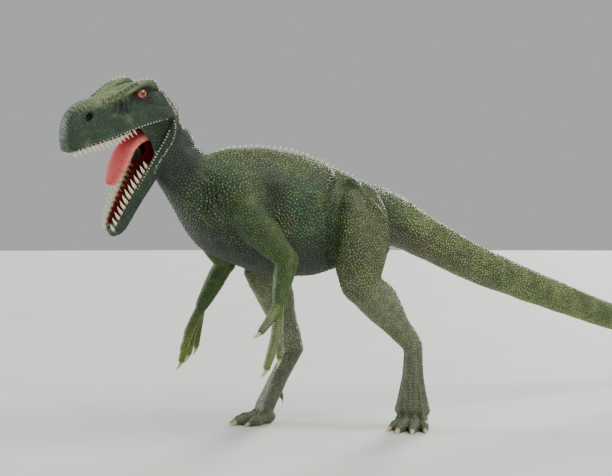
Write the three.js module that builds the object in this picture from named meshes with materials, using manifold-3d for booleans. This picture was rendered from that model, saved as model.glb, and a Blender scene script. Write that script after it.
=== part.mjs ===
// A two-legged predatory dinosaur at life size, striding with its mouth wide open.
// Millimetres. -X is towards the nose, -Y is the animal's left, +Z is up. The floor is z = 0.
// Each body part is a smooth run of oval sections. Neighbours are trimmed to meet with a thin gap.
import * as THREE from "three";
import { mergeVertices } from "three/addons/utils/BufferGeometryUtils.js";
import Module from "manifold-3d";

const wasm = await Module();
wasm.setup();

// Driving dimensions
const GAP = 0.3; // clearance between touching parts
const HEAD_LENGTH = 440; // jaw joint to the front of the upper lip
const JAW_LENGTH = 490; // jaw joint to the chin
const GAPE = 48; // degrees between the lip lines
const HEAD_TURN = { yaw: 12, pitch: -18, roll: 10 }; // degrees, to the left, nose down, left side down
const JAW_JOINT = [-765, -12, 1258];
const EYE = { forward: 120, out: 62, up: 132, radius: 20, turn: 12 };
const LID = { radius: 19, tube: 7, proud: 9 };
const NOSTRIL = { forward: 340, out: 55, up: 98, long: 23, deep: 15, high: 14, slant: 38 };
const UPPER_TOOTH = { count: 12, from: 185, to: 424, length: 36, radius: 6.5 };
const LOWER_TOOTH = { count: 12, from: 215, to: 468, length: 50, radius: 8 };
const TOOTH_SWEEP = 0.22; // teeth lean back
const LIP = { radius: 8, share: 0.91, toothShare: 0.8, upper: [40, 420], lower: [60, 455] };
const LIP_SQUARE = 5; // boxiness of a jaw along its lips
// Rows of spines, from and to in station numbers, with the share of the size at the ends of the row
const BACK_SPINE = { from: 3.2, to: 7.57, pitch: 29, height: 24, radius: 9, least: 0.6 };
const TAIL_SPINE = { from: 7.64, to: 8.55, pitch: 25, height: 15, radius: 6.5, least: 0.5 };
const SPINE_LEAN = 0.25; // tips lean towards the tail
const BROW_SPINE = { count: 5, from: 2, to: 3.9, height: 18, radius: 6, root: 12 };
const SUNK = 12; // how deep a tooth or spine is rooted
const CLAW = { toe: 38, finger: 44, thick: 0.72 }; // lengths, and thickness as a share of the digit's
const PALATE = { from: 30, to: 405, depth: 40 };
const MOUTH_FLOOR = { from: 40, to: 440, depth: 42 };
const MOUTH_WALL = 17; // lip and gum left beside the hollows of the mouth
const CHEEK = { reach: 165, hollow: 0.62, inner: 62, outer: 71 }; // web of skin at each corner of the mouth
const THROAT = { reach: 92, hollow: 0.95, half: 62 }; // flesh at the back of the mouth
const WEB_ROOT = { back: 24, over: 30, under: 40, ahead: 20, below: 16 }; // reach of a web into the jaws
const TOES = [
  { turn: -44, length: 104, radius: 21 },
  { turn: -14, length: 122, radius: 23 },
  { turn: 14, length: 116, radius: 23 },
  { turn: 44, length: 100, radius: 21 },
];
const ROOT_SPREAD = 62; // how far apart the toes leave the foot
const SPUR = { up: 92, length: 52, radius: 12, claw: 30 }; // the small raised toe behind each foot
const SOLE = 0.8; // height of a toe's middle over the floor, as a share of its radius
const PAD = { radius: 60, half: 38, up: 28, back: 14 }; // the cushion under the root of the toes

// Spine stations from skull base to tail tip: the section's middle, half width and reach up and down
const SPINE = [
  { at: "skull base", x: -772, y: -13, z: 1248, wide: 48, above: 70, below: 74 },
  { at: "neck", x: -733, y: -10, z: 1165, wide: 64, above: 98, below: 104 },
  { at: "lower neck", x: -702, y: -6, z: 1102, wide: 80, above: 100, below: 110 },
  { at: "neck root", x: -640, y: -2, z: 1022, wide: 118, above: 148, below: 112 },
  { at: "chest", x: -510, y: 0, z: 958, wide: 176, above: 214, below: 208 },
  { at: "ribs", x: -310, y: 0, z: 914, wide: 214, above: 253, below: 252 },
  { at: "belly", x: -120, y: 0, z: 888, wide: 205, above: 248, below: 247 },
  { at: "hips", x: 90, y: 0, z: 880, wide: 150, above: 190, below: 190 },
  { at: "tail root", x: 300, y: 0, z: 880, wide: 106, above: 124, below: 112 },
  { at: "tail 1", x: 560, y: 0, z: 780, wide: 88, above: 100, below: 84 },
  { at: "tail 2", x: 850, y: 0, z: 670, wide: 76, above: 86, below: 86 },
  { at: "tail 3", x: 1300, y: 0, z: 525, wide: 66, above: 75, below: 75 },
  { at: "tail 4", x: 1760, y: 0, z: 386, wide: 56, above: 64, below: 64 },
  { at: "tail 5", x: 2170, y: 0, z: 290, wide: 38, above: 42, below: 42 },
  { at: "tail 6", x: 2460, y: 0, z: 252, wide: 21, above: 23, below: 23 },
  { at: "tail tip", x: 2730, y: 0, z: 240, wide: 4, above: 4, below: 4 },
];
// Where the spine is parted, in station numbers
const PARTED = {
  neck: [0, 3], torso: [3, 7.6], tail_root: [7.6, 10], tail_middle: [10, 12], tail_end: [12, 15],
};

// Head sections by distance forward of the jaw joint: half width, crown and lip heights
const SKULL = [
  { forward: -42, wide: 50, top: 62, low: -6 },
  { forward: -12, wide: 70, top: 102, low: 4 },
  { forward: 25, wide: 82, top: 140, low: 10 },
  { forward: 75, wide: 86, top: 163, low: 8 },
  { forward: 130, wide: 80, top: 168, low: 3 },
  { forward: 190, wide: 68, top: 159, low: -5 },
  { forward: 255, wide: 61, top: 151, low: -14 },
  { forward: 315, wide: 57, top: 147, low: -22 },
  { forward: 365, wide: 53, top: 138, low: -28 },
  { forward: 402, wide: 49, top: 114, low: -31 },
  { forward: 424, wide: 42, top: 80, low: -33 },
  { forward: HEAD_LENGTH - 4, wide: 33, top: 42, low: -31 },
];
// Lower jaw sections by distance forward of the joint: half width, lip and chin heights
const MANDIBLE = [
  { forward: -34, wide: 52, top: -6, low: -56 },
  { forward: 0, wide: 74, top: 6, low: -84 },
  { forward: 70, wide: 80, top: 8, low: -92 },
  { forward: 150, wide: 72, top: 8, low: -82 },
  { forward: 250, wide: 61, top: 8, low: -66 },
  { forward: 360, wide: 51, top: 8, low: -54 },
  { forward: 440, wide: 42, top: 6, low: -50 },
  { forward: 472, wide: 30, top: 0, low: -40 },
  { forward: JAW_LENGTH - 6, wide: 16, top: -10, low: -28 },
];
// The ridge over each eye: forward, out from the middle, up and radius
const BROW = [
  { forward: 268, out: 46, up: 132, radius: 9 },
  { forward: 210, out: 60, up: 146, radius: 13 },
  { forward: 150, out: 67, up: 162, radius: 16 },
  { forward: 95, out: 69, up: 164, radius: 15 },
  { forward: 42, out: 68, up: 142, radius: 9 },
];
// The tongue in the lower jaw's frame: forward, up, half width, half thickness
const TONGUE = [
  { forward: 60, up: 0, wide: 36, thick: 26 },
  { forward: 105, up: 60, wide: 42, thick: 22 },
  { forward: 170, up: 94, wide: 50, thick: 18 },
  { forward: 240, up: 98, wide: 56, thick: 15 },
  { forward: 310, up: 90, wide: 40, thick: 11 },
];

// Limb joints of each side, with the foot's heading in degrees away from straight ahead
const LEGS = {
  left: {
    hip: [62, -128, 960], knee: [28, -206, 604], ankle: [276, -240, 338], toes: [254, -262, 74], heading: 40,
  },
  right: {
    hip: [52, 128, 955], knee: [-232, 160, 652], ankle: [-84, 152, 312], toes: [-216, 182, 70], heading: -16,
  },
};
const ARMS = {
  left: {
    shoulder: [-490, -158, 905],
    elbow: [-330, -222, 716],
    wrist: [-392, -270, 552],
    fingers: [
      { path: [[-448, -300, 490], [-502, -326, 446]], radius: 17 },
      { path: [[-420, -294, 420], [-466, -308, 308]], radius: 19 },
      { path: [[-388, -260, 440], [-382, -256, 340]], radius: 17 },
    ],
  },
  right: {
    shoulder: [-500, 158, 880],
    elbow: [-388, 208, 694],
    wrist: [-494, 220, 512],
    fingers: [
      { path: [[-556, 204, 408], [-590, 206, 290]], radius: 18 },
      { path: [[-526, 232, 408], [-540, 246, 314]], radius: 19 },
      { path: [[-492, 254, 424], [-494, 270, 340]], radius: 17 },
    ],
  },
};

const finish = (color, roughness) => new THREE.MeshStandardMaterial({ color, roughness, metalness: 0 });
const SKIN = finish(0x5f7446, 0.8);
const HORN = finish(0xb9a878, 0.5);
const FLESH = finish(0xb4474a, 0.4);
const IRIS = finish(0xb5541c, 0.1);

const vector = (p) => new THREE.Vector3(...p);
const radians = THREE.MathUtils.degToRad;
const SIDEWAYS = new THREE.Vector3(0, 1, 0);
const SIDES = [1, -1]; // left, right

// A section at station number u of a smooth run: its middle, direction, half width and reach up and down.
// Sections stand square to the run, or all face one way if that is given.
function run(stations, across = SIDEWAYS, facing = null) {
  const last = stations.length - 1;
  const middles = new THREE.CatmullRomCurve3(stations.map((s) => vector(s.p)));
  const sizes = new THREE.CatmullRomCurve3(
    stations.map((s) => new THREE.Vector3(s.wide, s.above, s.below)), false, "catmullrom", 0.5,
  );
  return (u) => {
    const along = facing ? facing.clone() : middles.getTangent(u / last);
    const side = across.clone().addScaledVector(along, -across.dot(along)).normalize();
    const size = sizes.getPoint(u / last);
    return {
      middle: middles.getPoint(u / last), along, side, up: along.clone().cross(side),
      wide: size.x, above: size.y, below: size.z,
    };
  };
}

// The points round a section. A squareness of 2 is an oval, and more is boxier, above and below.
function ring(section, sides, [squareAbove, squareBelow], grow, share = 1) {
  const { middle, side, up, wide, above, below } = section;
  return Array.from({ length: sides }, (_, i) => {
    const turn = (2 * Math.PI * i) / sides;
    const upper = Math.sin(turn) > 0;
    const soften = (c) => Math.sign(c) * Math.abs(c) ** (2 / (upper ? squareAbove : squareBelow));
    return middle.clone()
      .addScaledVector(side, soften(Math.cos(turn)) * (wide + grow) * share)
      .addScaledVector(up, soften(Math.sin(turn)) * ((upper ? above : below) + grow) * share);
  });
}

// A closed skin over a list of rings, with flat ends
function skinOver(rings) {
  const sides = rings[0].length;
  const points = rings.flat();
  const faces = [];
  const middle = (list) => list.reduce((sum, p) => sum.add(p), new THREE.Vector3()).divideScalar(sides);
  for (let r = 0; r + 1 < rings.length; r++) {
    for (let i = 0; i < sides; i++) {
      const [a, b] = [r * sides + i, r * sides + ((i + 1) % sides)];
      faces.push(a, b, a + sides, b, b + sides, a + sides);
    }
  }
  const first = points.push(middle(rings[0])) - 1;
  const last = points.push(middle(rings.at(-1))) - 1;
  const end = (rings.length - 1) * sides;
  for (let i = 0; i < sides; i++) {
    const next = (i + 1) % sides;
    faces.push(first, next, i, last, end + i, end + next);
  }
  return new THREE.BufferGeometry().setFromPoints(points).setIndex(faces);
}

// A run of sections from station u0 to u1 as a solid. A dome of that length rounds an end off.
function loft(at, u0, u1, { sides, steps, square = [2, 2], grow = 0, startDome = 0, endDome = 0 }) {
  const domeSteps = 2;
  const beyond = (u, length, share) => {
    const section = at(u);
    section.middle.addScaledVector(section.along, length);
    return ring(section, sides, square, grow, share);
  };
  const dome = (u, length, sign) => Array.from({ length: domeSteps }, (_, k) => {
    const turn = ((k + 1) / (domeSteps + 0.3)) * (Math.PI / 2);
    return beyond(u, sign * (length + grow) * Math.sin(turn), Math.cos(turn));
  });
  const rings = Array.from({ length: steps + 1 }, (_, k) =>
    ring(at(u0 + ((u1 - u0) * k) / steps), sides, square, grow));
  if (startDome) rings.unshift(...dome(u0, startDome, -1).reverse());
  else if (grow) rings[0] = beyond(u0, -grow, 1);
  if (endDome) rings.push(...dome(u1, endDome, 1));
  else if (grow) rings[steps] = beyond(u1, grow, 1);
  return solid(skinOver(rings));
}

// Solids for joining and trimming
function solid(geometry) {
  const bare = geometry.clone();
  bare.deleteAttribute("normal");
  bare.deleteAttribute("uv");
  const merged = mergeVertices(bare, 1e-4);
  const vertProperties = new Float32Array(merged.getAttribute("position").array);
  const triVerts = new Uint32Array(merged.index.array);
  return new wasm.Manifold(new wasm.Mesh({ numProp: 3, vertProperties, triVerts }));
}

const join = (pieces) => pieces.reduce((whole, piece) => whole.add(piece));
const trim = (piece, cutters) => cutters.reduce((rest, cutter) => rest.subtract(cutter), piece);

function largest(manifold) {
  return manifold.decompose().reduce((best, body) => (body.volume() > best.volume() ? body : best));
}

function mesh(name, manifold, material) {
  const { vertProperties, triVerts } = largest(manifold).getMesh();
  const geometry = new THREE.BufferGeometry()
    .setAttribute("position", new THREE.BufferAttribute(new Float32Array(vertProperties), 3))
    .setIndex(new THREE.BufferAttribute(new Uint32Array(triVerts), 1));
  geometry.computeVertexNormals();
  const made = new THREE.Mesh(geometry, material);
  made.name = name;
  return made;
}

const moved = (manifold, matrix) => manifold.transform(matrix.elements);

// A cone rooted at a point: its base is sunk and its tip stands out along the direction
function spike(root, direction, height, radius, sides = 5) {
  const whole = height + SUNK;
  const cone = new THREE.ConeGeometry(radius, whole, sides);
  const turn = new THREE.Quaternion().setFromUnitVectors(new THREE.Vector3(0, 1, 0), direction);
  const middle = root.clone().addScaledVector(direction, whole / 2 - SUNK);
  return solid(cone.applyMatrix4(new THREE.Matrix4().compose(middle, turn, new THREE.Vector3(1, 1, 1))));
}

// A tapered round limb or digit through points with radii
function taper(points, radii, options) {
  const last = points.length - 1;
  const round = (p, i) => ({ p, wide: radii[i], above: radii[i], below: radii[i] });
  const at = run(points.map(round), options.across);
  return { at, last, body: (grow = 0) => loft(at, 0, last, { ...options, grow }) };
}

// A claw that caps the end of a digit and curves towards the drop
function claw(digit, length, drop) {
  const end = digit.at(digit.last);
  const radius = end.wide * CLAW.thick;
  const bend = [[0, 0], [0.5, 0.08], [0.86, 0.34]]; // shares of the length, onward and dropped
  const points = bend.map(([onward, dropped]) => end.middle.clone()
    .addScaledVector(end.along, length * onward)
    .addScaledVector(drop, length * dropped)
    .toArray());
  const radii = [radius, radius * 0.68, radius * 0.08];
  const horn = taper(points, radii, { sides: 6, steps: 3, across: end.side });
  return trim(horn.body(), [digit.body(GAP)]);
}

// Neck, trunk and tail
const spineAt = run(SPINE.map((s) => ({ ...s, p: [s.x, s.y, s.z] })));
const SPINE_SIDES = { neck: 20, torso: 24, tail_root: 18, tail_middle: 14, tail_end: 12 };
const SPINE_STEPS = { neck: 6, torso: 15, tail_root: 8, tail_middle: 6, tail_end: 8 };

function spineLength(name, grow = 0) {
  const [from, to] = PARTED[name];
  const shift = (u) => GAP / 2 / spineAt(u).middle.distanceTo(spineAt(u + 1e-3).middle) / 1e3;
  const start = from === 0 ? 0 : from + shift(from);
  const end = to === SPINE.length - 1 ? to : to - shift(to);
  return loft(spineAt, start, end, {
    sides: SPINE_SIDES[name], steps: SPINE_STEPS[name], square: [2.15, 2.15], grow,
  });
}

// A row of spines along the ridge of the back, small at the ends of the row and largest at its middle
function ridgeSpines({ from, to, pitch, height, radius, least }) {
  const spines = [];
  let walked = 0;
  let before = null;
  for (let u = from; u <= to; u += 0.002) {
    const { middle, up, along, above } = spineAt(u);
    const root = middle.clone().addScaledVector(up, above);
    walked += before ? root.distanceTo(before) : pitch;
    before = root;
    if (walked < pitch) continue;
    walked = 0;
    const share = least + (1 - least) * Math.sin((Math.PI * (u - from)) / (to - from)) ** 0.6;
    const direction = up.clone().addScaledVector(along, SPINE_LEAN).normalize();
    spines.push(spike(root, direction, height * share, radius * share));
  }
  return spines;
}

// Head pieces, in a frame at the jaw joint: -X forward along the lip line, -Y left, +Z up
const headPoint = (forward, left, up) => new THREE.Vector3(-forward, -left, up);

function jawSections(sections) {
  return run(sections.map((s) => {
    const half = (s.top - s.low) / 2;
    return { p: [-s.forward, 0, s.low + half], wide: s.wide, above: half, below: half };
  }).reverse(), SIDEWAYS, new THREE.Vector3(1, 0, 0));
}

// Half width and the lip's height at a distance forward, read off the sections
function between(sections, forward, key) {
  const next = Math.max(1, sections.findIndex((s) => s.forward >= forward));
  const [a, b] = [sections[next - 1], sections[next]];
  return THREE.MathUtils.lerp(a[key], b[key], (forward - a.forward) / (b.forward - a.forward));
}

const skullAt = jawSections(SKULL);
const mandibleAt = jawSections(MANDIBLE);
const skull = (grow = 0) => loft(skullAt, 0, SKULL.length - 1, {
  sides: 22, steps: 16, square: [2.3, LIP_SQUARE], grow, startDome: 4, endDome: 26,
});
const mandible = (grow = 0) => loft(mandibleAt, 0, MANDIBLE.length - 1, {
  sides: 20, steps: 12, square: [LIP_SQUARE, 2.3], grow, startDome: 6, endDome: 22,
});

// The hollow of the palate or of the mouth's floor, inside the lips
function mouthHollow(sections, { from, to, depth }, lipKey, sign, grow) {
  const beyond = 20; // reach past the lip line, so that the hollow opens into the mouth
  const count = 7;
  const stations = Array.from({ length: count }, (_, i) => {
    const forward = THREE.MathUtils.lerp(to, from, i / (count - 1));
    const ease = i === 0 ? 0.55 : 1;
    const half = (between(sections, forward, "wide") - MOUTH_WALL) * ease;
    const [above, below] = sign > 0 ? [depth * ease, beyond] : [beyond, depth * ease];
    return { p: [-forward, 0, between(sections, forward, lipKey)], wide: half, above, below };
  });
  return loft(run(stations), 0, count - 1, { sides: 12, steps: 6, grow });
}
const palate = (grow = 0) => mouthHollow(SKULL, PALATE, "low", 1, grow);
const mouthFloor = (grow = 0) => mouthHollow(MANDIBLE, MOUTH_FLOOR, "top", -1, grow);

// A point on the rounded edge of a jaw, at a share of its half width. The sign is up for the lower jaw.
function lipPoint(sections, forward, left, share, sign) {
  const [wide, top, low] = ["wide", "top", "low"].map((key) => between(sections, forward, key));
  const fall = ((top - low) / 2) * (1 - (1 - share ** LIP_SQUARE) ** (1 / LIP_SQUARE));
  return headPoint(forward, left * wide * share, sign > 0 ? top - fall : low + fall);
}

// Teeth are longest at the middle of the row and vary a little from one to the next
function teeth(sections, { count, from, to, length, radius }, sign) {
  const made = [];
  const splay = sign > 0 ? 0.16 : 0.05;
  for (const left of SIDES) {
    for (let i = 0; i < count; i++) {
      const along = i / (count - 1);
      const root = lipPoint(sections, THREE.MathUtils.lerp(from, to, along), left, LIP.toothShare, sign);
      const swell = Math.sin(Math.PI * (0.12 + 0.8 * along));
      const share = 0.62 + 0.38 * swell + 0.08 * Math.sin(i * 2.4);
      const direction = new THREE.Vector3(TOOTH_SWEEP, -left * splay, sign).normalize();
      made.push(spike(root, direction, length * share, radius * (0.75 + 0.25 * share)));
    }
  }
  return made;
}

// A roll of lip along one side of a jaw
function lipRoll(sections, [from, to], sign, left, grow) {
  const count = 6;
  const points = Array.from({ length: count }, (_, i) => {
    const forward = THREE.MathUtils.lerp(from, to, i / (count - 1));
    return lipPoint(sections, forward, left, LIP.share, sign).toArray();
  });
  const radii = points.map((_, i) => LIP.radius * (i === 0 || i === count - 1 ? 0.7 : 1));
  return taper(points, radii, { sides: 5, steps: 5 }).body(grow);
}

const upperJaw = (grow = 0) =>
  join([skull(grow), ...SIDES.map((left) => lipRoll(SKULL, LIP.upper, -1, left, grow))]);
const lowerJaw = (grow = 0) =>
  join([mandible(grow), ...SIDES.map((left) => lipRoll(MANDIBLE, LIP.lower, 1, left, grow))]);

function browRidge(left) {
  const points = BROW.map(({ forward, out, up }) => headPoint(forward, left * out, up).toArray());
  return taper(points, BROW.map(({ radius }) => radius), { sides: 7, steps: 8, startDome: 6, endDome: 6 });
}

function eyeball(left, grow = 0) {
  const ball = new THREE.SphereGeometry(EYE.radius + grow, 12, 8);
  const place = headPoint(EYE.forward, left * EYE.out, EYE.up);
  return solid(ball.translate(place.x, place.y, place.z));
}

// A ring of lid round the eye, its hole facing out and a little forward
function lids(left) {
  const lid = new THREE.TorusGeometry(LID.radius, LID.tube, 6, 12);
  lid.scale(1.12, 0.9, 1.2);
  lid.rotateX(Math.PI / 2);
  lid.rotateZ(left * radians(-EYE.turn));
  const place = headPoint(EYE.forward, left * (EYE.out + LID.proud), EYE.up);
  return solid(lid.translate(place.x, place.y, place.z));
}

function nostril(left) {
  const pit = new THREE.SphereGeometry(1, 10, 7).scale(NOSTRIL.long, NOSTRIL.deep, NOSTRIL.high);
  pit.rotateY(radians(NOSTRIL.slant));
  const place = headPoint(NOSTRIL.forward, left * NOSTRIL.out, NOSTRIL.up);
  return solid(pit.translate(place.x, place.y, place.z));
}

function headSolid() {
  const forms = [upperJaw()];
  const holes = [palate()];
  for (const left of SIDES) {
    const brow = browRidge(left);
    const { count, from, to, height, radius, root } = BROW_SPINE;
    forms.push(brow.body(), lids(left));
    const direction = headPoint(-0.15, left * 0.25, 1).normalize();
    for (let i = 0; i < count; i++) {
      const { middle } = brow.at(THREE.MathUtils.lerp(from, to, i / (count - 1)));
      forms.push(spike(middle.addScaledVector(direction, root), direction, height, radius));
    }
    holes.push(eyeball(left, GAP), nostril(left));
  }
  return join([trim(join(forms), holes), ...teeth(SKULL, UPPER_TOOTH, -1)]);
}

const headMatrix = new THREE.Matrix4().compose(
  vector(JAW_JOINT),
  new THREE.Quaternion().setFromEuler(new THREE.Euler(
    radians(HEAD_TURN.roll), radians(HEAD_TURN.pitch), radians(HEAD_TURN.yaw), "ZYX",
  )),
  new THREE.Vector3(1, 1, 1),
);
const gapeMatrix = new THREE.Matrix4().makeRotationY(radians(-GAPE));

function tongueSolid() {
  const at = run(TONGUE.map(({ forward, up, wide, thick }) =>
    ({ p: [-forward, 0, up], wide, above: thick, below: thick })));
  return loft(at, 0, TONGUE.length - 1, { sides: 12, steps: 9, square: [2.3, 2.3], endDome: 16 });
}

// The web of skin at a corner of the mouth, or the flesh at its back, as a slab between the two lip lines
function mouthWeb(reach, hollow, inner, outer) {
  const { back, over, under, ahead, below } = WEB_ROOT;
  const toward = (angle) => new THREE.Vector2(Math.cos(radians(angle)), -Math.sin(radians(angle)));
  const low = toward(GAPE).multiplyScalar(reach).add(new THREE.Vector2(-ahead, -below));
  const bend = toward(GAPE / 2).multiplyScalar(reach * hollow);
  const outline = new THREE.Shape();
  outline.moveTo(-back, over);
  outline.lineTo(reach, over);
  outline.quadraticCurveTo(bend.x, bend.y, low.x, low.y);
  outline.lineTo(-back, -under);
  const depth = outer - inner;
  const slab = new THREE.ExtrudeGeometry(outline, { depth, bevelEnabled: false, curveSegments: 8 });
  slab.rotateX(Math.PI / 2);
  slab.rotateZ(Math.PI);
  return solid(slab.translate(0, -outer, 0));
}

const part = new THREE.Group();
const animal = new THREE.Group();
part.add(animal);

// Trunk and tail, with their spines
const torso = spineLength("torso");
const tailRoot = spineLength("tail_root");
animal.add(
  mesh("torso", join([torso, ...ridgeSpines(BACK_SPINE)]), SKIN),
  mesh("tail_root", join([tailRoot, ...ridgeSpines(TAIL_SPINE)]), SKIN),
  mesh("tail_middle", spineLength("tail_middle"), SKIN),
  mesh("tail_end", spineLength("tail_end"), SKIN),
);

// Head, jaw and mouth. The neck is trimmed to sit round the back of the head.
const headFrame = new THREE.Group();
headFrame.applyMatrix4(headMatrix);
const jawFrame = new THREE.Group();
jawFrame.applyMatrix4(gapeMatrix);
headFrame.add(jawFrame);
animal.add(headFrame);

const grownSkull = upperJaw(GAP);
const grownJaw = moved(lowerJaw(GAP), gapeMatrix);
const skullShell = trim(grownSkull, [palate(-GAP)]);
const jawShell = trim(lowerJaw(GAP), [mouthFloor(-GAP)]);
const jawInverse = gapeMatrix.clone().invert();
const skullInJaw = moved(grownSkull, jawInverse);
const bareJaw = trim(lowerJaw(), [mouthFloor()]);
const jaw = trim(join([bareJaw, ...teeth(MANDIBLE, LOWER_TOOTH, 1)]), [skullInJaw]);
headFrame.add(mesh("head", headSolid(), SKIN));
jawFrame.add(mesh("lower_jaw", jaw, SKIN));

const cheekWeb = (inner, outer) => mouthWeb(CHEEK.reach, CHEEK.hollow, inner, outer);
const cheeks = { cheek_left: [CHEEK.inner, CHEEK.outer], cheek_right: [-CHEEK.outer, -CHEEK.inner] };
for (const [name, [inner, outer]] of Object.entries(cheeks)) {
  headFrame.add(mesh(name, trim(cheekWeb(inner, outer), [grownSkull, grownJaw]), SKIN));
}
const throatWeb = (grow) =>
  mouthWeb(THROAT.reach + grow, THROAT.hollow, GAP - THROAT.half - grow, THROAT.half + grow - GAP);
const throat = trim(throatWeb(0), [skullShell, moved(jawShell, gapeMatrix)]);
headFrame.add(mesh("throat", throat, FLESH));
const throatInJaw = moved(throatWeb(GAP), jawInverse);
jawFrame.add(mesh("tongue", trim(tongueSolid(), [throatInJaw, jawShell, skullInJaw]), FLESH));
for (const [name, left] of [["eye_left", 1], ["eye_right", -1]]) {
  headFrame.add(mesh(name, eyeball(left), IRIS));
}
const betweenCheeks = cheekWeb(-CHEEK.outer - GAP, CHEEK.outer + GAP);
const headBlock = moved(join([grownSkull, grownJaw, betweenCheeks]), headMatrix);
animal.add(mesh("neck", trim(spineLength("neck"), [headBlock]), SKIN));

// A place at a share of the way from one joint to the next
const mid = (a, b, share) => a.map((value, i) => THREE.MathUtils.lerp(value, b[i], share));

// Legs
const floor = solid(new THREE.BoxGeometry(8000, 4000, 400).translate(0, 0, -200));

function legForms({ hip, knee, ankle, toes, heading }) {
  const thighAt = run([
    { p: [hip[0] + 4, hip[1] * 0.9, hip[2] + 30], wide: 66, above: 106, below: 112 },
    { p: mid(hip, knee, 0.14), wide: 86, above: 138, below: 146 },
    { p: mid(hip, knee, 0.56), wide: 88, above: 134, below: 140 },
    { p: knee, wide: 66, above: 82, below: 84 },
  ]);
  const shankAt = run([
    { p: mid(knee, ankle, -0.08), wide: 60, above: 64, below: 72 },
    { p: mid(knee, ankle, 0.28), wide: 63, above: 102, below: 66 },
    { p: mid(knee, ankle, 0.62), wide: 49, above: 68, below: 50 },
    { p: ankle, wide: 36, above: 42, below: 36 },
  ]);
  const across = new THREE.Vector3(-Math.sin(radians(heading)), Math.cos(radians(heading)), 0);
  const instepAt = run([
    { p: mid(ankle, toes, -0.04), wide: 37, above: 42, below: 36 },
    { p: mid(ankle, toes, 0.45), wide: 46, above: 38, below: 34 },
    { p: toes, wide: 76, above: 44, below: 30 },
  ], across);
  return {
    thigh: (grow = 0) => loft(thighAt, 0, 3, { sides: 16, steps: 7, grow, startDome: 40, endDome: 44 }),
    shank: (grow = 0) => loft(shankAt, 0, 3, { sides: 14, steps: 7, grow, startDome: 30, endDome: 22 }),
    instep: (grow = 0) => loft(instepAt, 0, 2, { sides: 12, steps: 5, grow, startDome: 24, endDome: 34 }),
  };
}

// The spur hangs behind the inner side of the foot
function spurForm({ ankle, toes, heading }, left) {
  const angle = radians(heading + left * 150);
  const back = new THREE.Vector3(-Math.cos(angle), -Math.sin(angle), 0);
  const root = vector(ankle).lerp(vector(toes), 1 - SPUR.up / ankle[2]);
  const points = [[0, 10], [0.75, -4], [1.1, -SPUR.length * 0.8]].map(([share, rise]) =>
    root.clone().addScaledVector(back, SPUR.length * share).add(new THREE.Vector3(0, 0, rise)).toArray());
  const across = new THREE.Vector3(back.y, -back.x, 0);
  return taper(points, [SPUR.radius * 1.3, SPUR.radius, SPUR.radius * 0.7], { sides: 7, steps: 4, across });
}

// Toes fan out from the end of the instep and lie along the floor
function toeForms({ toes, heading }, left) {
  return TOES.map(({ turn, length, radius }) => {
    const angle = radians(heading + left * turn);
    const ahead = new THREE.Vector3(-Math.cos(angle), -Math.sin(angle), 0);
    const outward = new THREE.Vector3(-Math.sin(radians(heading)), Math.cos(radians(heading)), 0);
    const lie = (share, high) => {
      const apart = -left * Math.sin(radians(turn)) * ROOT_SPREAD * (1 - share);
      const place = vector(toes).addScaledVector(ahead, length * share).addScaledVector(outward, apart);
      return [place.x, place.y, high];
    };
    const tip = radius * 0.66;
    const root = lie(-0.05, toes[2] * 0.8);
    const points = [root, lie(0.3, radius * 1.1), lie(0.66, radius * SOLE), lie(1, tip * SOLE)];
    const across = new THREE.Vector3(ahead.y, -ahead.x, 0);
    return taper(points, [radius * 1.05, radius, radius * 0.92, tip], { sides: 8, steps: 4, across });
  });
}

// The cushion under the root of the toes, which carries the rear of the foot
function footPad({ toes, heading }) {
  const angle = radians(heading);
  const pad = new THREE.SphereGeometry(1, 12, 7).rotateX(Math.PI / 2);
  pad.scale(PAD.radius, PAD.radius, PAD.half);
  const [x, y] = [toes[0] + Math.cos(angle) * PAD.back, toes[1] + Math.sin(angle) * PAD.back];
  return solid(pad.translate(x, y, PAD.up));
}

const grownTrunk = [spineLength("torso", GAP), spineLength("tail_root", GAP)];
const DOWN = new THREE.Vector3(0, 0, -1);
const AHEAD = new THREE.Vector3(-1, 0, 0);
for (const [name, left] of [["left", 1], ["right", -1]]) {
  const forms = legForms(LEGS[name]);
  const digits = [...toeForms(LEGS[name], left), spurForm(LEGS[name], left)];
  const soles = [footPad(LEGS[name]), ...digits.map((digit) => digit.body())];
  const foot = trim(join([forms.instep(), ...soles]), [forms.shank(GAP), floor]);
  animal.add(
    mesh(`thigh_${name}`, trim(forms.thigh(), grownTrunk), SKIN),
    mesh(`shank_${name}`, trim(forms.shank(), [forms.thigh(GAP)]), SKIN),
    mesh(`foot_${name}`, foot, SKIN),
  );
  digits.forEach((digit, i) => {
    const length = i < TOES.length ? CLAW.toe : SPUR.claw;
    animal.add(mesh(`toe_claw_${name}_${i + 1}`, trim(claw(digit, length, DOWN), [floor]), HORN));
  });
}

// Arms
function armForms({ shoulder, elbow, wrist }) {
  const upperAt = run([
    { p: shoulder, wide: 58, above: 70, below: 74 },
    { p: mid(shoulder, elbow, 0.5), wide: 54, above: 58, below: 62 },
    { p: elbow, wide: 41, above: 44, below: 42 },
  ]);
  const foreAt = run([
    { p: mid(elbow, wrist, -0.06), wide: 38, above: 42, below: 38 },
    { p: mid(elbow, wrist, 0.35), wide: 38, above: 40, below: 40 },
    { p: wrist, wide: 24, above: 27, below: 27 },
  ]);
  return {
    upper: (grow = 0) => loft(upperAt, 0, 2, { sides: 14, steps: 5, grow, startDome: 40, endDome: 26 }),
    fore: (grow = 0) => loft(foreAt, 0, 2, { sides: 12, steps: 5, grow, startDome: 22, endDome: 14 }),
  };
}

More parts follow.
